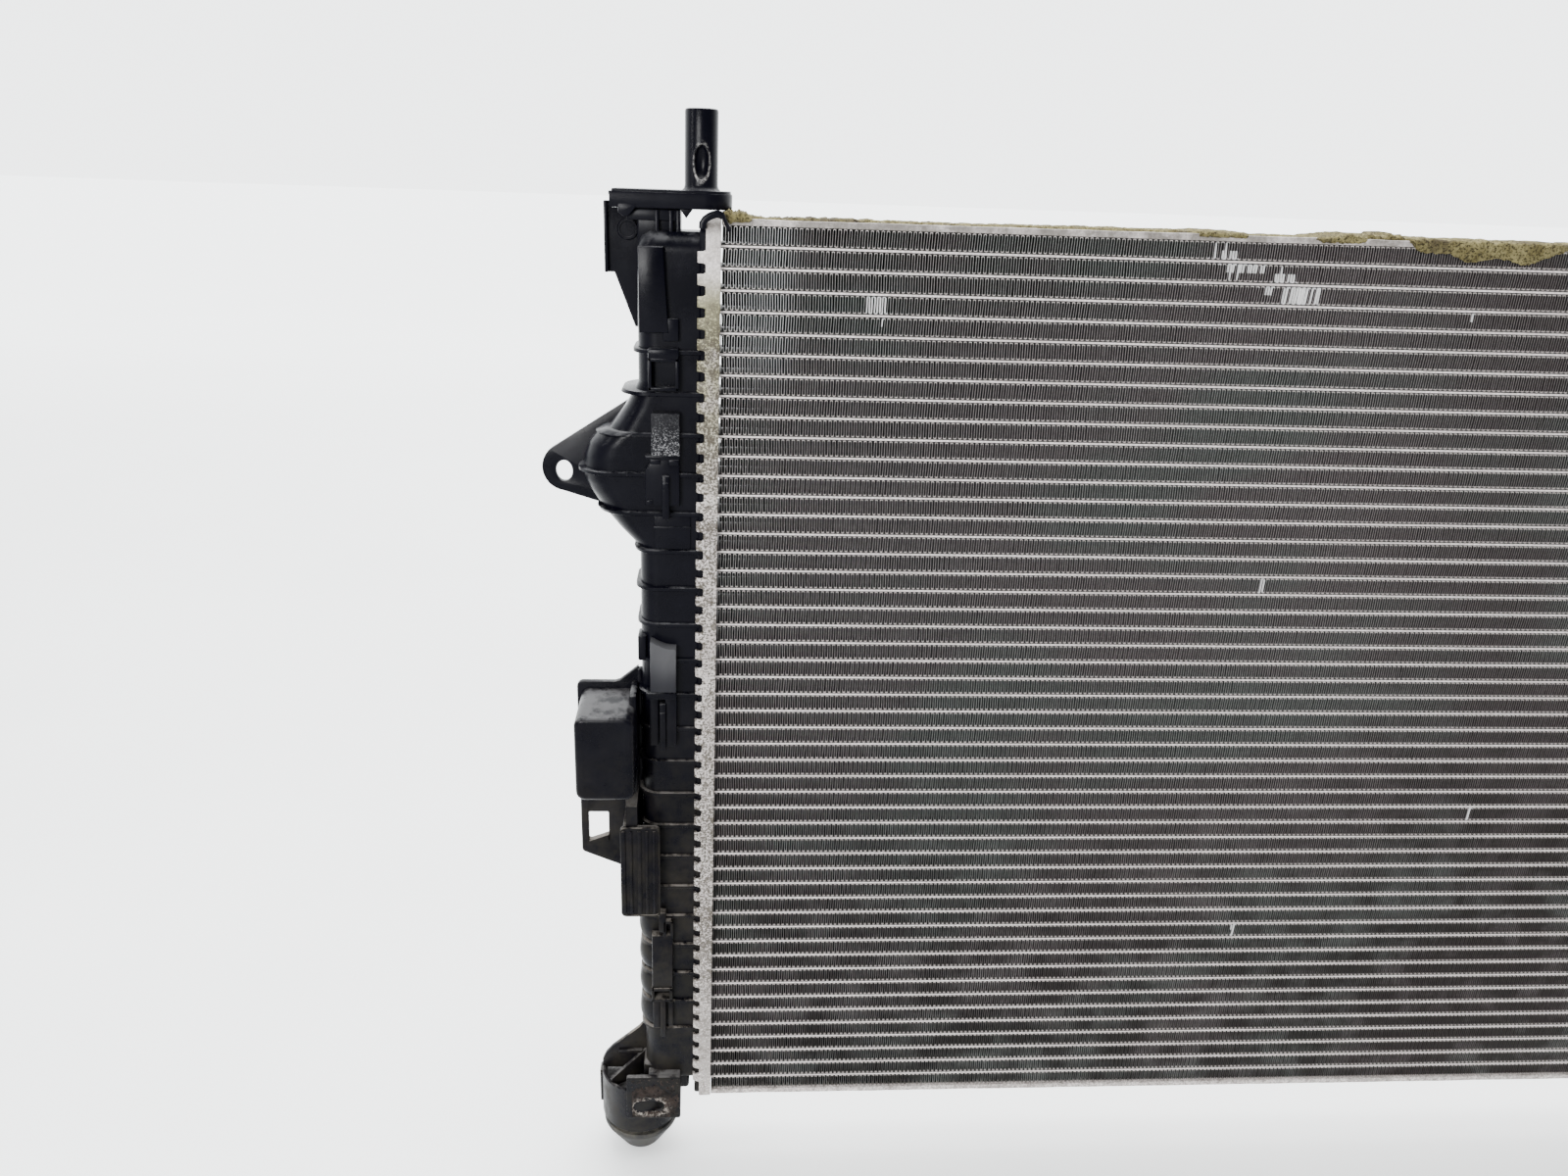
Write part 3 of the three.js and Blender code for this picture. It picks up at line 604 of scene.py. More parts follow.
def fin_row(row):
    """One folded fin strip, from the left header to the right one."""
    chance = np.random.default_rng(900 + row)
    pitch = FIN_WAVE / 2
    legs = int((CORE_WIDTH - 1.4) / pitch)
    bottom = -PITCH * row + TUBE_HEIGHT / 2 + 0.05
    top = bottom + PITCH - TUBE_HEIGHT - 0.1
    at = 0.7 + pitch * np.arange(legs)
    drift = 0.16 * np.sin(at / 23 + row) + 0.1 * np.sin(at / 7.1 + 2.3 * row)
    at = at + drift + chance.normal(0, 0.035, legs)
    lean = 0.1 * np.sin(at / 61 + 1.7 * row) + chance.normal(0, 0.03, legs)
    bend = 0.52
    upward = np.arange(legs) % 2 == 0
    knocked = [k for k in KNOCKS if k[0] == row]
    xs, zs, highs, owners = [], [], [], []
    for leg in range(legs):
        low = (at[leg] - lean[leg], bottom + bend, 0.0)
        high = (at[leg] + lean[leg], top - bend, 1.0)
        run = [low, high] if upward[leg] else [high, low]
        if knocked:
            run.insert(1, tuple((a + b) / 2 for a, b in zip(low, high)))
        if leg + 1 < legs:
            rise = 1 if upward[leg] else -1
            here, edge, at_edge = run[-1]
            there = at[leg + 1] + rise * lean[leg + 1]
            for turn in (45, 90, 135):
                angle = math.radians(turn)
                x = (here + there) / 2 - (there - here) / 2 * math.cos(angle)
                run.append((x, edge + rise * bend * math.sin(angle), at_edge))
        for x, z, h in run:
            xs.append(x)
            zs.append(z)
            highs.append(h)
            owners.append(leg)
    x, z, high = np.array(xs), np.array(zs), np.array(highs)
    along = np.stack([np.gradient(x), np.gradient(z)])
    along /= np.linalg.norm(along, axis=0)
    depths = [FIN_FRONT, 1.1, CORE_DEPTH - FIN_FRONT] if knocked else [FIN_FRONT, CORE_DEPTH - FIN_FRONT]
    push = knock_push(row, x, high, np.array(owners), chance)
    levels = []
    for index, depth in enumerate(depths):
        shift = push if index == 0 else np.zeros_like(x)
        for face in (0.5, -0.5):
            px = x + shift - face * FIN_SHEET * along[1]
            pz = z + face * FIN_SHEET * along[0]
            levels.append(np.stack([px, np.full_like(px, depth) - 0.06 * push * (index == 0), pz], axis=1))
    count = len(x)
    points = np.concatenate(levels)
    step = np.arange(count - 1)
    quads = []
    marks = []
    bent = (push[:-1] + push[1:]) / 2 > 0.12

    def wall(a, b, is_bent):
        near, far = a * count + step, b * count + step
        quads.append(np.stack([near, near + 1, far + 1, far], axis=1))
        marks.append(np.where(bent & is_bent, 1, 0))

    for index in range(len(depths) - 1):
        first = 2 * index
        wall(first, first + 2, index == 0 and bool(knocked))
        wall(first + 3, first + 1, index == 0 and bool(knocked))
    wall(1, 0, bool(knocked))
    wall(2 * len(depths) - 2, 2 * len(depths) - 1, False)
    faces = np.concatenate(quads)
    for end in (0, count - 1):
        for index in range(len(depths) - 1):
            first = 2 * index
            faces = np.vstack([faces, [[(first + k) * count + end for k in (0, 1, 3, 2)]]])
            marks.append(np.zeros(1, int))
    return points, faces, np.concatenate(marks)


def louvre_bank(row):
    """The slats cut in a fin strip, taken together as one bank in the middle of its depth."""
    bottom = -PITCH * row + TUBE_HEIGHT / 2 + 0.3
    top = bottom + PITCH - TUBE_HEIGHT - 0.6
    return rounded_box(0.9, CORE_WIDTH - 0.9, LOUVRES_Y, LOUVRES_Y + 0.2, bottom, top, 0.05, 1)


def link_mesh(name, points, faces, materials, marks=None, smooth=50):
    """A large piece straight from arrays of points and quads in the left end's drawing."""
    mesh = bpy.data.meshes.new(name)
    mesh.vertices.add(len(points))
    world = points * MM + np.array([EDGE_X, FRONT_Y, TUBE_Z])
    mesh.vertices.foreach_set("co", world.astype(np.float32).ravel())
    mesh.loops.add(faces.size)
    mesh.loops.foreach_set("vertex_index", faces.astype(np.int32).ravel())
    mesh.polygons.add(len(faces))
    mesh.polygons.foreach_set("loop_start", np.arange(0, faces.size, 4, dtype=np.int32))
    for material in materials:
        mesh.materials.append(material)
    if marks is not None:
        mesh.polygons.foreach_set("material_index", marks.astype(np.int32))
    mesh.polygons.foreach_set("use_smooth", np.ones(len(faces), bool))
    mesh.update(calc_edges=True)
    mesh.validate()
    build = bmesh.new()
    build.from_mesh(mesh)
    bmesh.ops.recalc_face_normals(build, faces=build.faces)
    build.to_mesh(mesh)
    build.free()
    mesh.set_sharp_from_angle(angle=math.radians(smooth))
    obj = add_object(name, mesh)
    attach(obj, BODY)
    return obj


def tube(index):
    """One hollow flat tube with round noses."""
    z = -PITCH * index
    outer = TUBE_HEIGHT / 2
    inner = outer - 0.3
    start, end = -3.5, CORE_WIDTH + 3.5

    def section(x, half):
        nose = arc(0, 0, half, 90, 270)
        front = [(x, outer + a, z + b) for a, b in nose]
        back = [(x, CORE_DEPTH - outer - a, z - b) for a, b in nose]
        return front + back

    shape = loft([section(start, outer), section(end, outer), section(end, inner), section(start, inner),
                  section(start, outer)], closed_ends=False)
    return make(f"tube_{index + 1:02d}", shape, TUBE, smooth=60)


def core():
    pieces = []
    for index in range(TUBES):
        pieces.append(tube(index))
    for row in range(TUBES + 1):
        points, faces, marks = fin_row(row)
        pieces.append(link_mesh(f"fin_strip_{row + 1:02d}", points, faces, [FIN, BENT], marks))
        make(f"louvres_{row + 1:02d}", louvre_bank(row), FIN, smooth=30)
    for section in range(SECTIONS):
        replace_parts(pieces[TUBES_PER_SECTION * section], f"core_section_{section + 1:02d}")


def side_plate(name, face, outward):
    """Channel that closes the core, with small ripples pressed along its edges."""
    stations = 260
    half = 14.0
    rings = []
    for step in range(stations + 1):
        x = 0.3 + (CORE_WIDTH - 0.6) * step / stations
        ripple = 0.12 * noise.noise(Vector((x / 9, face, 1.7)))
        lip = 2.6 + 0.25 * noise.noise(Vector((x / 17, face, 5.2)))
        profile = [(-1 + 0.35, 0), (27 - 0.35, 0), (27, 0.35), (27, lip), (26.6, lip + 0.15),
                   (25.8, lip), (25.8, 1.5), (25.3, 1.2), (0.7, 1.2), (0.2, 1.5), (0.2, lip),
                   (-0.4, lip + 0.15), (-1, lip), (-1, 0.35)]
        rings.append([(x, y + ripple * (1 if y > half else -1) * 0.5, face + outward * (h + ripple * 0.3))
                      for y, h in profile])
    return make(name, loft(rings), SHEET, smooth=40)


# ---------------------------------------------------------------- headers

def header_outline(inset, corner, steps):
    """The header's rim in y and z, drawn in by a distance."""
    return rounded_rectangle(HEADER_FRONT + inset, HEADER_BACK - inset, HEADER_BOTTOM + inset,
                             HEADER_TOP - inset, corner - inset, steps)


def header(side):
    shape = Shape()

    def tray_loop(inset, x):
        return [(x, y, z) for y, z in header_outline(inset, 8, 10)]

    wall = [(0.6, 0), (0.18, -0.25), (0, -0.8), (0, -HEADER_DEPTH + 0.3), (0.3, -HEADER_DEPTH),
            (1.3, -HEADER_DEPTH), (1.6, -HEADER_DEPTH + 0.3), (1.6, -0.4), (0.6, 0)]
    shape.join(loft([tray_loop(inset, x) for inset, x in wall], closed_ends=False))
    rim = header_outline(0.5, 8, 6)
    slots = [rounded_rectangle(-0.2, CORE_DEPTH + 0.2, -PITCH * i - 1.1, -PITCH * i + 1.1, 1.0, 3)[::-1]
             for i in range(TUBES)]
    shape.join(plate([rim] + slots, "x", -1.6, -0.02, 0.2))
    chance = random.Random(side)
    for tab in range(TUBES - 1):
        for front in (True, False):
            shape.join(crimp_tab(tab, front, chance))
    piece = make(f"{side}_header_tray", shape, SHEET, side, 35)
    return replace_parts(piece, f"{side}_header")


def gasket_tail():
    """The gasket's loose end, squeezed out and curled over the header's top corner."""
    path = [(-8.0, 7.2), (-7.9, 9.2), (-6.8, 10.9), (-5.2, 12.0), (-3.2, 12.9), (-1.4, 13.2),
            (0.2, 12.6), (1.2, 11.2), (2.2, 9.2), (3.4, 6.4)]
    rings = []
    for step, (x, z) in enumerate(path):
        x0, z0 = path[max(step - 1, 0)]
        x1, z1 = path[min(step + 1, len(path) - 1)]
        across = Vector((z0 - z1, x1 - x0)).normalized() * (1.5 if step < 7 else 0.75)
        front = -7.4 if step < 7 else -6.9
        rings.append([(x + a * across.x, front + b, z + a * across.y)
                      for a, b in [(-1, 0.4), (-0.6, 0), (0.6, 0), (1, 0.4), (1, 3.4), (-1, 3.4)]])
    return make("left_gasket_tail", loft(rings), PLASTIC)


TAB_SECTION = [(-1, -0.82), (-0.75, -1), (0.75, -1), (1, -0.82), (1, 0.82), (0.75, 1), (-0.75, 1),
               (-1, 0.82)]


def crimp_tab(index, front, chance):
    """A tab that rises from the tray's wall and folds over the tank's foot."""
    middle = -PITCH * (index + 0.5) + chance.uniform(-0.12, 0.12)
    tilt = chance.uniform(-0.15, 0.15)
    path = [(-6.2, 0.8, 2.95), (-6.9, 0.8, 2.75), (-7.4, 0.82, 2.45), (-8.5, 0.95, 2.4),
            (-9.25, 1.5, 2.35), (-9.55, 2.6, 2.25), (-9.55, 3.9, 1.95), (-9.5, 4.2, 1.5)]
    rings = []
    for step, (x, inward, half) in enumerate(path):
        before = path[max(step - 1, 0)]
        after = path[min(step + 1, len(path) - 1)]
        run = Vector((after[0] - before[0], after[1] - before[1])).normalized()
        across = Vector((-run.y, run.x)) * 0.72
        ring = []
        for a, b in TAB_SECTION:
            px = x + across.x * a
            py = inward + across.y * a
            y = HEADER_FRONT + py if front else HEADER_BACK - py
            ring.append((max(px, -TAB_REACH), y, middle + tilt * step / 7 + half * b))
        rings.append(ring)
    return loft(rings)


# ---------------------------------------------------------------- tanks

SWELLING = [(41, 0), (37, 2), (30, 5.7), (23, 10.8), (18.6, 14.2), (17, 19), (12, 23.3), (6, 25.6),
            (0, 26.4), (-5, 25.7), (-10, 23.4), (-15, 20.1), (-20, 16.4), (-28, 9.2), (-36, 0.8),
            (-38, 0)]


def swelling(height):
    """How far the hose chamber stands out of the tank's flank."""
    for (z1, r1), (z0, r0) in zip(SWELLING, SWELLING[1:]):
        if z0 <= height <= z1:
            return r0 + (r1 - r0) * (height - z0) / (z1 - z0)
    return 0.0


RING_TOP = -44.0
RING_PITCH = 2 * PITCH
LOBES_FROM = -338.4


def lobe(z):
    """Low down, the flank bulges a little between the rings."""
    if z > LOBES_FROM or z < -412:
        return 0.0
    place = ((LOBES_FROM - z) % RING_PITCH) / RING_PITCH
    return 2.9 * max(math.sin(math.pi * min(max((place - 0.12) / 0.86, 0), 1)), 0) ** 0.45


def tank_ring(z, outer, front, back, radius, inner=-8.0):
    corner = (arc(outer + radius, front + radius, radius, 270, 180, 10)
              + arc(outer + radius, back - radius, radius, 180, 90, 10))
    return [(inner, front, z)] + [(x, y, z) for x, y in corner] + [(inner, back, z)]


def tank_at(side, z, inset=0.0, grow=0.0):
    reach = swelling(z - BULGE[side])
    swell = min(reach / 20, 1)
    radius = max(9 + 6.5 * swell + grow - inset, 1.2)
    outer = TANK_X - reach - lobe(z) - grow + inset
    return tank_ring(z, outer, TANK_FRONT - grow + inset, TANK_BACK + grow - inset, radius)


def tank_shell(side):
    round_top = 8.0
    rings = []
    for turn in range(0, 91, 15):
        angle = math.radians(turn)
        z = TANK_TOP - round_top + round_top * math.cos(angle)
        rings.append(tank_at(side, z, inset=round_top * (1 - math.sin(angle))))
    z = TANK_TOP - round_top - 1.5
    while z > TANK_BOTTOM + 5:
        rings.append(tank_at(side, z))
        z -= 1.15
    for turn in range(90, -1, -18):
        angle = math.radians(turn)
        rings.append(tank_at(side, TANK_BOTTOM + 5 - 5 * math.cos(angle), inset=5 * (1 - math.sin(angle))))
    shape = loft(rings)

    def foot_loop(inset, x):
        return [(x, y, z) for y, z in header_outline(inset, 8, 8)]

    foot = [(1.9, -6.2), (1.9, -8.4), (2.6, -9.1), (6.8, -9.1), (6.8, -6.2), (1.9, -6.2)]
    shape.join(loft([foot_loop(inset, x) for inset, x in foot], closed_ends=False))
    return shape


def tank_rings(side):
    """Stiffening rings every second tube, standing proud of the shell."""
    shape = Shape()
    for index in range(RINGS):
        top = RING_TOP - index * RING_PITCH
        from_bulge = top - BULGE[side]
        proud = 2.1 if from_bulge > -60 else 1.6
        extra = 0.0
        if 28 < from_bulge < 45:
            extra = 3.4
        elif top < LOBES_FROM + 1:
            extra = 0.5
        rings = []
        for drop, inset in [(0, 0.35), (0.3, 0), (1.7, 0), (2.0, 0.35)]:
            z = top - drop
            reach = max(swelling(z - BULGE[side]), 0)
            swell = min(reach / 20, 1)
            outer = TANK_X - reach - proud - extra + inset
            radius = 10.6 + 6.0 * swell + extra * 0.6
            rings.append(tank_ring(z, outer, TANK_FRONT - proud + inset, TANK_BACK + proud - inset, radius))
        shape.join(loft(rings))
    return shape


def spigot(z):
    """Hose spigot with a bead near its mouth and a smooth bore."""
    wall = [(18.0, 24), (19.0, 30), (19.0, 55.5), (19.5, 56.2), (20.2, 57.5), (20.2, 58.8), (19.4, 60),
            (18.9, 60.6), (18.7, 63.2), (18.1, 64), (16.9, 64), (16.4, 63.4), (16.4, 24), (18.0, 24)]
    shape = lathe(wall, "y", -37, z, 72)
    shape.join(lathe([(16.42, 27), (0.01, 27), (0.01, 26), (16.42, 26), (16.42, 27)], "y", -37, z, 48))
    collar = [(19.2, 27), (23, 28), (23.4, 29.5), (21, 31.5), (19.6, 34), (18.8, 36)]
    return shape.join(lathe(collar, "y", -37, z, 72))


def ear(z):
    """Mounting ear behind the hose chamber, with an oval hole."""
    tip = arc(-71.3, z - 3, 11.4, 120, 261, 14)
    rim = [(-30, z - 22), (-30, z + 30), (-41.5, z + 30)] + tip + [(-56, z - 19.5)]
    hole = [(-72.4 + 3.85 * math.cos(t), z - 4.6 + 5 * math.sin(t))
            for t in [2 * math.pi * i / 32 for i in range(32)]][::-1]
    return plate([rim, hole], "y", 18, 21.5, 0.5)


def shoulder():
    """Pillar, stiffening ribs and back plate under the upper mount."""
    top = 13.9
    shape = rounded_box(-36, -17.4, 6, 22, 0, top, 0.8)
    for x in (-27.5, -21.5, -18.4):
        shape.box(x - 0.9, x + 0.9, 2.6, 20, -2, top, 0.5)
    shape.box(-40.5, -17.6, 4, 20, 9.5, top, 0.5)
    rim = [(-50.6, 16.7), (-47.8, 16.7), (-47.8, top), (-25, top), (-25, -38), (-38.2, -37),
           (-47.1, -13.4), (-50.6, -13.4)]
    shape.join(plate([rim[::-1]], "y", 18, 21, 0.45))
    shape.box(-51.2, -49.6, 15.5, 21.6, -13.4, 16.7, 0.4)
    shape.join(lathe([(0, 17), (0, 18.5), (4.6, 18.5), (4.6, 17.3), (4.2, 16.9), (3.4, 16.9),
                      (3.2, 17.3), (0, 17.3)], "y", -41, 5, 40))
    return shape


def clip_window(x0, x1, z0, z1, front):
    """Four bars round the opening of a clip socket."""
    shape = rounded_box(x0, x1, front, -2, z1 - 1.6, z1, 0.3)
    shape.box(x0, x1, front, -2, z0, z0 + 1.4, 0.3)
    shape.box(x0, x0 + 1.5, front, -2, z0, z1, 0.3)
    return shape.box(x1 - 1.5, x1, front, -2, z0, z1, 0.3)


def panel(x0, x1, z0, z1, front, slant=0.0, edge=0.7):
    """A flat moulded panel whose right edge may slope."""
    rim = [(x0, z0), (x1 + slant, z0), (x1, z1), (x0, z1)]
    return plate([rim], "y", front, -2, edge)


def front_fittings():
    """Panels, clip sockets, tongues and rails moulded on the front of a tank."""
    shape = panel(-35.2, -24.4, -36.5, -0.6, -7.2, 2.2, 1.1)
    shape.box(-24.8, -18, -6.2, -2, -40, -30.4, 0.5)
    shape.box(-31.2, -17.8, -8.6, -2, -47.4, -43, 0.7)
    shape.join(clip_window(-31.2, -17.8, -61.2, -47, -8.4))
    shape.box(-33, -17.4, -7.4, -2, -92.6, -90.6, 0.4)
    bracket = [(-33, -114), (-17.5, -114), (-17.5, -92), (-29, -92), (-33, -97)]
    shape.join(plate([bracket], "y", -7.2, -2, 0.6))
    shape.boxes((-30.6, -26, -8.2, -6, -94.4, -92.2, 0.3),
                (-22.2, -17.8, -8.2, -6, -94.8, -92.2, 0.3),
                (-32.4, -29.6, -7.9, -6, -113.4, -111.2, 0.3),
                (-25.3, -22, -9.6, -6, -119.7, -99.5, 0.5),
                (-25.0, -22.4, -10.2, -7, -105.6, -102.4, 0.3))
    shape.join(panel(-29, -12.5, -135.5, -119, -4.2, 0, 0.4))
    shape.boxes((-29.4, -12.4, -4.9, -2, -125.6, -124.6, 0.25),
                (-37.5, -33.4, -2.5, 8, -193, -180, 0.8),
                (-33.5, -18.8, -9.4, -2, -210.6, -207, 0.5),
                (-24.4, -18.8, -7.8, -2, -237, -209, 0.5), (-32, -27.6, -6.4, -2, -237, -209, 0.5),
                (-27, -24, -9.4, -5, -238.5, -213, 0.4),
                (-26.8, -24.2, -10, -6, -222, -217.5, 0.25),
                (-28, -24.4, -7.6, -2, -347, -335, 0.4))
    shape.join(clip_window(-25.8, -20.6, -352, -340, -7.6))
    shape.join(panel(-31.8, -20.8, -384, -349, -7.8, 0, 0.8))
    shape.join(clip_window(-32.2, -21, -391, -382.5, -8.6))
    shape.boxes((-31.4, -27.6, -6.8, -2, -410, -390, 0.4),
                (-23.4, -20.8, -6.8, -2, -409, -390, 0.4),
                (-27.6, -24.6, -8.8, -4, -414.5, -390, 0.4))
    return shape


def concave_pad(x0, x1, z0, z1, front, dip):
    """A pad with a scooped top edge."""
    top = [(x1, z1)] + [(x1 + (x0 - x1) * t, z1 + dip * (1 - math.cos(math.pi * t)) / 2 * t)
                        for t in [i / 8 for i in range(1, 9)]]
    return plate([[(x0, z0), (x1, z0)] + top], "y", front, -2, 0.35)


def foot_housing():
    """Cup for the rubber isolator, the webs above it and its flat, slotted front wall."""
    cup = [(0.01, -456), (19, -456), (19.6, -453.6), (20.3, -452.3), (21.4, -452), (22, -452.7),
           (22, -481.2), (21.3, -482), (9, -482), (9, -462), (0.01, -462)]
    shape = lathe(cup, "z", FOOT_X, MID_Y, 72)
    gusset = [(-30, -416), (-36.6, -420.5), (-40.9, -426), (-51, -434.9), (-56, -439.3), (-59.5, -443.5),
              (-61.5, -448), (-62, -453.5), (-30, -455)]
    shape.join(plate([gusset[::-1]], "y", 11.6, 14.4, 0.5))
    shape.box(-52.2, -38.8, 9.4, 12.2, -442.2, -440.2, 0.4)
    across = Vector((-0.55, 0.84)) * 0.85
    ends = [(-35.8, 12.0, -439.6), (-55.8, -1.0, -450.2)]
    web = []
    for x, y, top in ends:
        left, right = (x - across.x, y - across.y), (x + across.x, y + across.y)
        web.append([(*left, -457), (*right, -457), (*right, top), (*left, top)])
    shape.join(loft(web))
    shape.box(-37.5, -12, -1, 27, -458, -440, 2.0, 3)
    shape.box(-20, -9.5, 1, 25, -449, -436, 1.5, 3)
    wall = rounded_rectangle(-46.5, -16.6, -471.5, -442.5, 1.2, 3)
    slot = rounded_rectangle(-42.6, -25.4, -466.8, -459.2, 3.6, 6)[::-1]
    shape.join(plate([wall, slot], "y", -9, -6.2, 0.5))
    lens = [(-8.4, -458.6), (-5.2, -458.6), (-5.2, -463.4), (-6.0, -463.2)]
    shape.join(plate([lens], "x", -42.6, -25.4, 0.2))
    shape.box(-34.5, -16.9, -6.8, 12, -444.6, -442.6, 0.5)
    shape.box(-18.6, -16.7, -7, 12, -471, -443, 0.5)
    return shape.box(-63, -61, 9.5, 16.5, -476, -454, 0.5)


def chewed_patch():
    """Torn, dirty surface round the foot's slot, as a thin uneven crust."""
    columns, rows = 64, 48
    points = []
    for j in range(rows + 1):
        for i in range(columns + 1):
            x = -43.6 + 26.2 * i / columns
            z = -470.4 + 26.6 * j / rows
            rough = noise.fractal(Vector((x / 2.2, z / 2.2, 3)), 1.0, 2.0, 4)
            centre = math.hypot((x + 33.5) / 13.5, (z + 461) / 10.5)
            ring = max(0, 1 - abs(centre - 0.78) / 0.55)
            slot = math.hypot(max(abs(x + 34) - 4.9, 0), z + 463)
            cover = ring * 0.95 + rough * 0.9 - 0.22
            if slot < 3.9 + 0.5 * rough:
                cover = -1
            points.append((x, -9.0 - max(min(cover, 1.0), -0.6) * 0.55, z))
    faces = []
    for j in range(rows):
        for i in range(columns):
            a = j * (columns + 1) + i
            quad = (a, a + 1, a + columns + 2, a + columns + 1)
            if min(points[q][1] for q in quad) < -9.04:
                faces.append(quad)
    used = sorted({q for face in faces for q in face})
    order = {q: k for k, q in enumerate(used)}
    front = [points[q] for q in used]
    shape = Shape().add(front, [[order[q] for q in face] for face in faces])
    build = bmesh.new()
    verts = [build.verts.new(p) for p in shape.points]
    for face in shape.faces:
        build.faces.new([verts[i] for i in face])
    bmesh.ops.solidify(build, geom=build.faces[:], thickness=0.3)
    return from_bmesh(build)


def tank(side):
    shell = moulding(f"{side}_tank_shell", tank_shell(side), side)
    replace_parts(shell, f"{side}_tank")
    moulding(f"{side}_tank_rings", tank_rings(side), side)
    moulding(f"{side}_hose_spigot", spigot(BULGE[side]), side)
    moulding(f"{side}_ear", ear(BULGE[side]), side)
    moulding(f"{side}_shoulder", shoulder(), side)
    moulding(f"{side}_front_fittings", front_fittings(), side)
    moulding(f"{side}_middle_pad", rounded_box(-30, -17.4, -8.4, -2, -90.4, -71.2, 0.5), side, SPARKLE)
    moulding(f"{side}_lower_pad", concave_pad(-31.3, -19, -206.6, -184, -9.6, 3.6), side, PAD)
    moulding(f"{side}_foot_housing", foot_housing(), side)
    moulding(f"{side}_foot_wear", chewed_patch(), side, CHEWED, 60)


# ---------------------------------------------------------------- mounts, bracket, feet

def upper_mount(side):
    rim = [(-47.4, 1)] + arc(-7.3, MID_Y, 12, -90, 90, 18) + [(-47.4, 25)]
    shape = plate([rim], "z", 14.4, 21.0, 0.8)
    deck = [(-46.4, 1.6)] + arc(-7.3, MID_Y, 11.4, -90, 90, 18) + [(-46.4, 24.4)]
    shape.join(plate([deck], "z", 20.2, 22, 0.5))
    hook = [(-43.8, 16), (-43.8, 12.6), (-41.2, 10.6), (-39.2, 11.4), (-35.6, 15.4), (-35.6, 16)]
    shape.join(plate([hook], "y", 0.9, 3.8, 0.4))
    peak = [(-18.4, 15.5), (-15, 10.6), (-11.4, 15.5)]
    shape.join(plate([peak], "y", 3, 6, 0.35))
    shape.box(-48.4, -46, 9, 17, 19.2, 20.9, 0.4)
    shape.box(-44, -15, 5, 21, 13.95, 15.5, 0.4)
    body = moulding(f"{side}_mount_plate", shape, side)
    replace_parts(body, f"upper_{side}_mount")
    peg = lathe([(0, 54.6), (6.2, 54.6), (6.9, 54.3), (7.15, 53.6), (7.15, 24), (7.5, 22.9),
                 (8.6, 21.8), (0, 21.8)], "z", PEG_X, MID_Y, 96)
    turns = [math.radians(t) for t in range(5, 176, 10)]
    bowl = [(SCOOP_WIDTH * math.sin(t), -3 - 4.6 * math.cos(t)) for t in turns]
    scoop = lathe([(0, -10)] + bowl + [(0, 1.6)], "y", 0, 0, 48)
    scoop.points = [(SCOOP_X + x, MID_Y - 4.5 + y * 0.72, SCOOP_Z + z * 2.15)
                    for x, y, z in scoop.points]
    obj = moulding(f"{side}_peg", peg, side, PEG)
    carve(obj, scoop, side)


def carve(obj, cutter, side):
    """Cuts a shape out of a piece."""
    tool = make("carver", cutter, PLASTIC, side)
    cut = obj.modifiers.new("cut", "BOOLEAN")
    cut.operation = "DIFFERENCE"
    cut.object = tool
    cut.solver = "EXACT"
    bpy.context.view_layer.update()
    result = bpy.data.meshes.new_from_object(obj.evaluated_get(bpy.context.evaluated_depsgraph_get()))
    obj.modifiers.clear()
    obj.data = result
    bpy.data.objects.remove(tool)
    obj.data.set_sharp_from_angle(angle=math.radians(40))


def peg_plastic():
    """The peg's plastic, with a pale crust round its scooped recess."""
    n = Nodes("peg_plastic", moulded_plastic("peg_plastic", 0.6))
    x = n.math("DIVIDE", n.minus(n.axis("X"), EDGE_X + SCOOP_X * MM), SCOOP_WIDTH * MM)
    z = n.math("DIVIDE", n.minus(n.axis("Z"), z_of(SCOOP_Z)), SCOOP_HEIGHT * MM)
    reach = n.math("SQRT", n.plus(n.times(x, x), n.times(z, z)))
    rim = n.span(n.size(n.minus(reach, 1.03)), 0.2, 0.04)
    low = n.span(z, 0.55, -0.7, 0.35, 1.0)
    front = n.span(n.axis("Y"), FRONT_Y + 10 * MM, FRONT_Y + 8 * MM)
    crumb = n.span(n.noise(800, 5, 0.75), 0.42, 0.6)
    crust = n.times(n.times(rim, low), n.times(front, crumb))
    old = n.shader.inputs["Base Color"].links[0].from_socket
    n.put(n.shader.inputs["Base Color"], n.mix(crust, old, (0.3, 0.29, 0.28)))
    return n.material


PEG = peg_plastic()


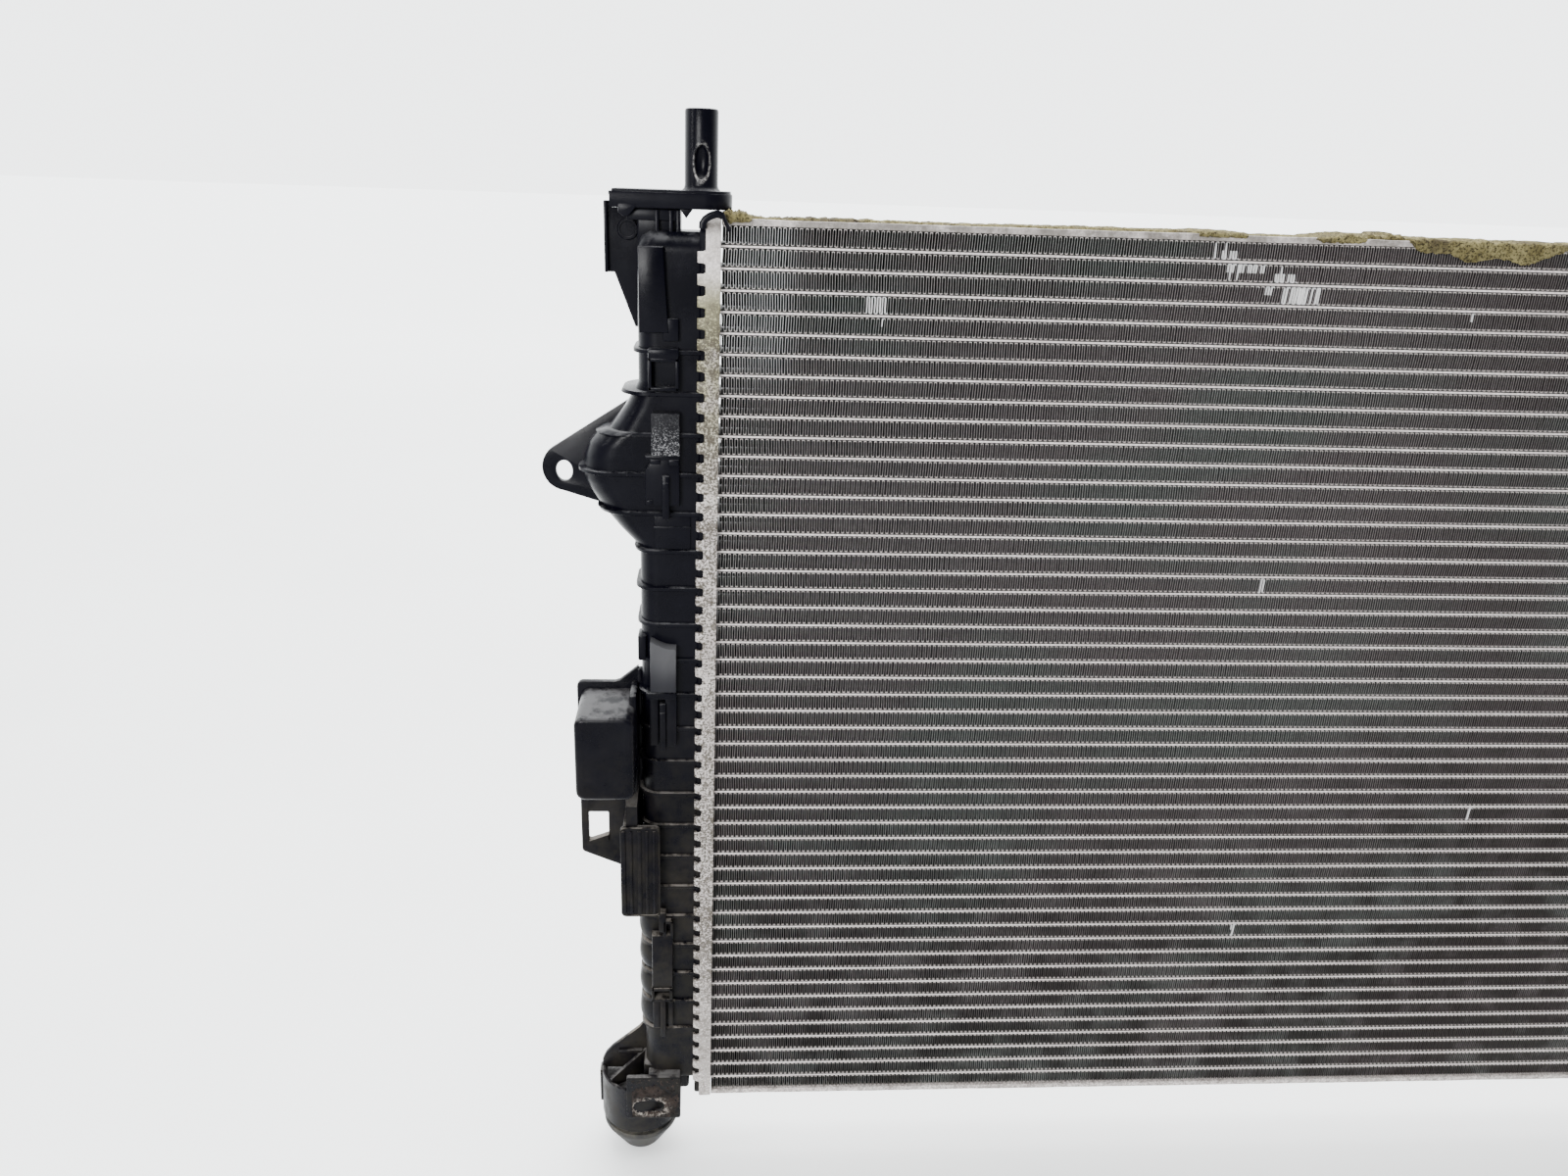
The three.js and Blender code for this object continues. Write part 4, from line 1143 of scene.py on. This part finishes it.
def box_bracket():
    shape = Shape()

    def box_loop(inset, y):
        loop = rounded_rectangle(-66.7 + inset, -38.5 - inset, -257.3 + inset, -213.3 - inset,
                                 max(4.5 - inset, 1.2), 8)
        return [(x, y, z) for x, z in loop]

    shell = [(4.4, -24.75), (2.2, -25), (0.9, -24.6), (0.2, -23.8), (0, -22.8), (0, 11.5), (1.9, 11.5),
             (1.9, -22.4), (2.6, -23), (4.6, -23.1)]
    shape.join(loft([box_loop(inset, y) for inset, y in shell]))
    rim = [(-38.2, -201.2), (-47.6, -209.0), (-50, -209.7)] + arc(-65.8, -212.7, 3, 90, 180, 5)
    rim += arc(-66.4, -306.4, 2.5, 180, 240, 4) + [(-49.2, -316.6), (-38.2, -320)]
    window = rounded_rectangle(-65, -54.7, -301, -284.5, 0.7, 3)[::-1]
    pocket = rounded_rectangle(-63.6, -41.6, -254.2, -216.4, 2, 4)[::-1]
    shape.join(plate([rim, window, pocket], "y", 9.8, 13, 0.6))
    shape.join(plate([[(-65, -301.4), (-54.7, -301.4), (-54.7, -297.5)]], "y", 8.6, 12.6, 0.3))
    shape.boxes((-38.8, -36.5, 8.6, 13, -318.5, -202.5, 0.4),
                (-41.6, -38.3, -9, 12, -262, -209, 0.7),
                (-45.6, -38.3, -11.5, 12, -318, -279.5, 0.8))
    slant = [(-46, 12), (-38.3, 12), (-38.3, -11.5), (-44, -11.5)]
    shape.join(plate([slant], "z", -281, -268.5, 0.8))
    main = moulding("left_bracket_box", shape, smooth=35)
    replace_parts(main, "left_box_bracket")
    guide = plate([rounded_rectangle(-47, -27, -333, -280, 2.6, 6)], "y", -12.4, -9.6, 0.5)
    for x in (-45.4, -41.6, -37.4, -33.6, -30.0):
        width = 1.0 if x in (-45.4, -37.4) else 0.7
        guide.box(x - width, x + width, -13.2, -12, -331.5, -282, 0.35)
    edge = [(0, -11.4), (0, -12.6), (0.3, -12.9), (0.8, -12.9), (1.1, -12.4), (1.1, -11.4), (0, -11.4)]
    loops = []
    for i, y in edge:
        loop = rounded_rectangle(-47 + i, -27 - i, -333 + i, -280 - i, 2.6 - i, 6)
        loops.append([(x, y, z) for x, z in loop])
    moulding("left_bracket_guide", guide, smooth=35)
    moulding("left_guide_rim", loft(loops, closed_ends=False), "left", DUSTY, 35)


def isolator(side):
    profile = [(0, -504), (10.2, -504), (11.4, -503.5), (12.2, -502.2), (20.6, -488.6), (21.2, -487.2),
               (21.2, -485.7), (20.7, -485), (18.4, -484.7), (17.8, -484.1), (17.8, -482.7),
               (18.2, -482.3), (8.6, -482.3), (8.6, -463.2), (7.4, -462), (0, -462)]
    shape = lathe(profile, "z", FOOT_X, MID_Y, 96)
    piece = make(f"{side}_isolator", shape, RUBBER, side, 40)
    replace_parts(piece, f"lower_{side}_isolator")


def drain_tap():
    x, z, mouth = -22, -432, 36
    plug = [(0, mouth - 8), (4.6, mouth - 8), (5, mouth - 7.4), (5, mouth - 4.6), (3.8, mouth - 4.6),
            (3.8, mouth - 2), (5, mouth - 2), (5, mouth + 0.3), (7.8, mouth + 0.3), (8.4, mouth + 0.8),
            (8.4, mouth + 2.6), (7.8, mouth + 3.2), (0, mouth + 3.2)]
    shape = lathe(plug, "y", x, z, 72)
    wing = arc(x - 6, z, 1.8, 90, 270, 6) + arc(x + 6, z, 1.8, -90, 90, 6)
    shape.join(plate([wing], "y", mouth + 2, mouth + 12, 0.5))
    tap = moulding("drain_tap_key", shape, "right", body="drain_tap")
    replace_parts(tap, "drain_tap")
    boss = [(9, 27), (9, mouth - 0.6), (8.4, mouth), (5.8, mouth), (5.3, mouth - 0.5), (5.3, 27), (9, 27)]
    moulding("drain_boss", lathe(boss, "y", x, z, 72), "right")


# ---------------------------------------------------------------- foam

# Along the top: how high the foam still stands, and how far it hangs over the front edge.
FOAM_HEIGHT = [(0, 4.2), (6, 4.6), (12, 2.6), (18, 1.2), (60, 1.4), (110, 0.9), (150, 1.4), (205, 1.3),
               (214, 1.9), (229, 1.5), (233, 0.4), (262, 0.4), (268, 1.8), (284, 2.4), (300, 2.6),
               (303, 0.9), (306, 1.4), (340, 1.3), (372, 1.2), (376, 0.6), (420, 1.6), (470, 0.5),
               (520, 1.8), (560, 0.8), (610, 1.9), (655, 1.4), (669, 2.2)]
FOAM_HANG = [(0, -0.6), (4, 1.2), (12, 0.4), (18, -0.8), (60, -0.5), (120, -0.8), (200, -0.6),
             (212, 0.6), (228, 0.9), (232, -0.9), (258, -0.9), (264, 1.6), (282, 1.3), (285, -0.9),
             (303, -0.9), (305, 1.8), (309, 4.4), (322, 4.6), (332, 8.2), (343, 6.0), (350, 6.4),
             (358, 8.6), (370, 4.4), (376, 1.8), (382, -0.9), (430, -0.6), (436, 2.4), (452, 3.1),
             (460, -0.7), (540, -0.8), (548, 1.6), (566, -0.8), (640, -0.6), (669, 0.8)]


def between(table, x):
    places, values = zip(*table)
    return float(np.interp(x, places, values))


def foam():
    """What is left of the foam seal: a crumbling crust that hangs over the front edge in places."""
    face = TOP_PLATE
    rings = []
    steps = 1330
    for step in range(steps + 1):
        x = 0.6 + (CORE_WIDTH - 1.2) * step / steps
        crumb = noise.fractal(Vector((x / 3.1, 0.0, 7.7)), 0.9, 2.1, 5)
        rise = face + 2.5 + between(FOAM_HEIGHT, x) * (0.8 + 0.5 * crumb)
        hang = between(FOAM_HANG, x) + 0.5 * noise.fractal(Vector((x / 2.3, 4.0, 1.1)), 0.9, 2.1, 4)
        if between(FOAM_HANG, x) > 0.2:
            lip, foot = -2.6, face + 2.2 - max(hang, 0.1)
        else:
            lip, foot = 0.5, face + 1.6
        section = [(25.2, face + 1.4), (25.4, rise - 0.8), (24.4, rise - 0.2), (19, rise),
                   (13, rise + 0.3), (7, rise), (2, rise), (lip + 0.9, rise - 0.3),
                   (lip + 0.1, rise - 1.1), (lip, (rise + foot) / 2), (lip + 0.2, foot + 0.4),
                   (lip + 0.7, foot), (min(lip + 1.5, 1.0), foot + 0.5),
                   (min(lip + 1.6, 1.2), face + 1.7), (2.0, face + 1.4), (10, face + 1.3)]
        ring = []
        for y, z in section:
            push = 0.0 if z < face + 1.45 and y > 1 else 0.38
            ring.append((x, y + push * noise.fractal(Vector((x / 1.3, y / 1.3, z / 1.3)), 0.9, 2.1, 4),
                         z + push * noise.fractal(Vector((x / 1.3 + 50, y / 1.3, z / 1.3)), 0.9, 2.1, 4)))
        rings.append(ring)
    piece = make("top_foam", loft(rings), FOAM, smooth=60)
    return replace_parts(piece, "top_foam_strip")


# ---------------------------------------------------------------- the object

DUSTY = moulded_plastic("dusty_plastic", 2.2)
core()
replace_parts(side_plate("top_plate", TOP_PLATE, 1), "top_side_plate")
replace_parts(side_plate("bottom_plate", BOTTOM_PLATE, -1), "bottom_side_plate")
foam()
for end in ("left", "right"):
    header(end)
    tank(end)
    upper_mount(end)
    isolator(end)
gasket_tail()
box_bracket()
drain_tap()
for node in ("left_gasket", "right_gasket", "drain_tap_seal"):
    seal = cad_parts[node]
    seal.data.materials.clear()
    seal.data.materials.append(RUBBER)


# ---------------------------------------------------------------- studio

FLOOR_REACH = 30.0
HAZE_TONE = (0.95, 0.975, 0.985, 1)


def surround():
    """Soft white all round, brightest behind the radiator and dimmer on the camera's side."""
    world = bpy.data.worlds.new("surround")
    world.use_nodes = True
    tree = world.node_tree
    direction = tree.nodes.new("ShaderNodeSeparateXYZ")
    tree.links.new(tree.nodes.new("ShaderNodeTexCoord").outputs["Generated"], direction.inputs[0])
    strength = None
    for axis, low, high, to_low, to_high in [("Y", -0.3, 0.5, 0.26, 4.0), ("Z", 0.3, 0.9, 0.0, 0.5)]:
        ramp = tree.nodes.new("ShaderNodeMapRange")
        ramp.interpolation_type = "SMOOTHSTEP"
        tree.links.new(direction.outputs[axis], ramp.inputs[0])
        for index, value in enumerate((low, high, to_low, to_high)):
            ramp.inputs[index + 1].default_value = value
        if strength is None:
            strength = ramp.outputs[0]
        else:
            total = tree.nodes.new("ShaderNodeMath")
            tree.links.new(strength, total.inputs[0])
            tree.links.new(ramp.outputs[0], total.inputs[1])
            strength = total.outputs[0]
    background = tree.nodes["Background"]
    background.inputs["Color"].default_value = HAZE_TONE
    tree.links.new(strength, background.inputs["Strength"])
    bpy.context.scene.world = world


def floor():
    """Pale floor, grey in front of the radiator, where the upright plastic mirrors it, and glowing
    more with distance behind, where it meets the surround."""
    mesh = bpy.data.meshes.new("floor")
    reach = FLOOR_REACH
    corners = [(-reach, -reach, 0), (reach, -reach, 0), (reach, reach, 0), (-reach, reach, 0)]
    mesh.from_pydata(corners, [], [(0, 1, 2, 3)])
    sheet = add_object("floor", mesh)
    n = Nodes("pale_floor")
    tone = n.mix(n.span(n.noise(2.2, 3), 0.3, 0.7), (0.78, 0.79, 0.79), (0.82, 0.83, 0.83))
    tone = n.mix(n.span(n.axis("Y"), -0.06, -0.25), tone, (0.24, 0.243, 0.247))
    sheet.data.materials.append(n.finish(tone, 0.5, 0.0, None, 0.2))
    n.shader.inputs["Emission Color"].default_value = HAZE_TONE
    n.put(n.shader.inputs["Emission Strength"], n.span(n.axis("Y"), 0.15, 3.5, 0.6, 2.4))


def lights():
    """Softboxes: one behind and above, one low in front, and a strip for crisp highlights."""
    for name, place, aim, width, height, power in [
        ("back_softbox", (0.0, 0.9, 1.9), (0, 0.55, 0), 2.4, 1.2, 75),
        ("front_softbox", (-1.1, -2.0, 0.85), (-0.05, 0, 0.28), 0.8, 0.6, 56),
        ("ceiling_softbox", (0.1, -0.25, 1.9), (0, 0, 0.2), 1.6, 0.5, 16),
        ("side_strip", (-1.25, -0.35, 1.15), (-0.4, 0, 0.35), 0.07, 0.9, 5),
    ]:
        light = bpy.data.lights.new(name, "AREA")
        light.shape = "RECTANGLE"
        light.size = width
        light.size_y = height
        light.energy = power
        lamp = add_object(name, light)
        lamp.location = place
        lamp.rotation_euler = (Vector(aim) - Vector(place)).to_track_quat("-Z", "Y").to_euler()


LENS = 25.67
CAMERA_AT = (-1.97, -500.76, 27.61)
CAMERA_FORWARD = (0.06376, 0.93720, -0.34292)
CAMERA_RIGHT = (0.99790, -0.05593, 0.03268)


def camera():
    """Camera before the left end and a little above it, given in that end's drawing."""
    data = bpy.data.cameras.new("camera")
    data.sensor_width = 36
    data.lens = LENS
    data.clip_start = 0.01
    data.clip_end = 50
    eye = add_object("camera", data)
    forward = Vector(CAMERA_FORWARD)
    right = Vector(CAMERA_RIGHT)
    up = right.cross(forward)
    turn = Matrix((right, up, -forward)).transposed().to_4x4()
    eye.matrix_world = Matrix.Translation(side_matrix("left") @ Vector(CAMERA_AT)) @ turn
    bpy.context.scene.camera = eye


surround()
floor()
lights()
camera()
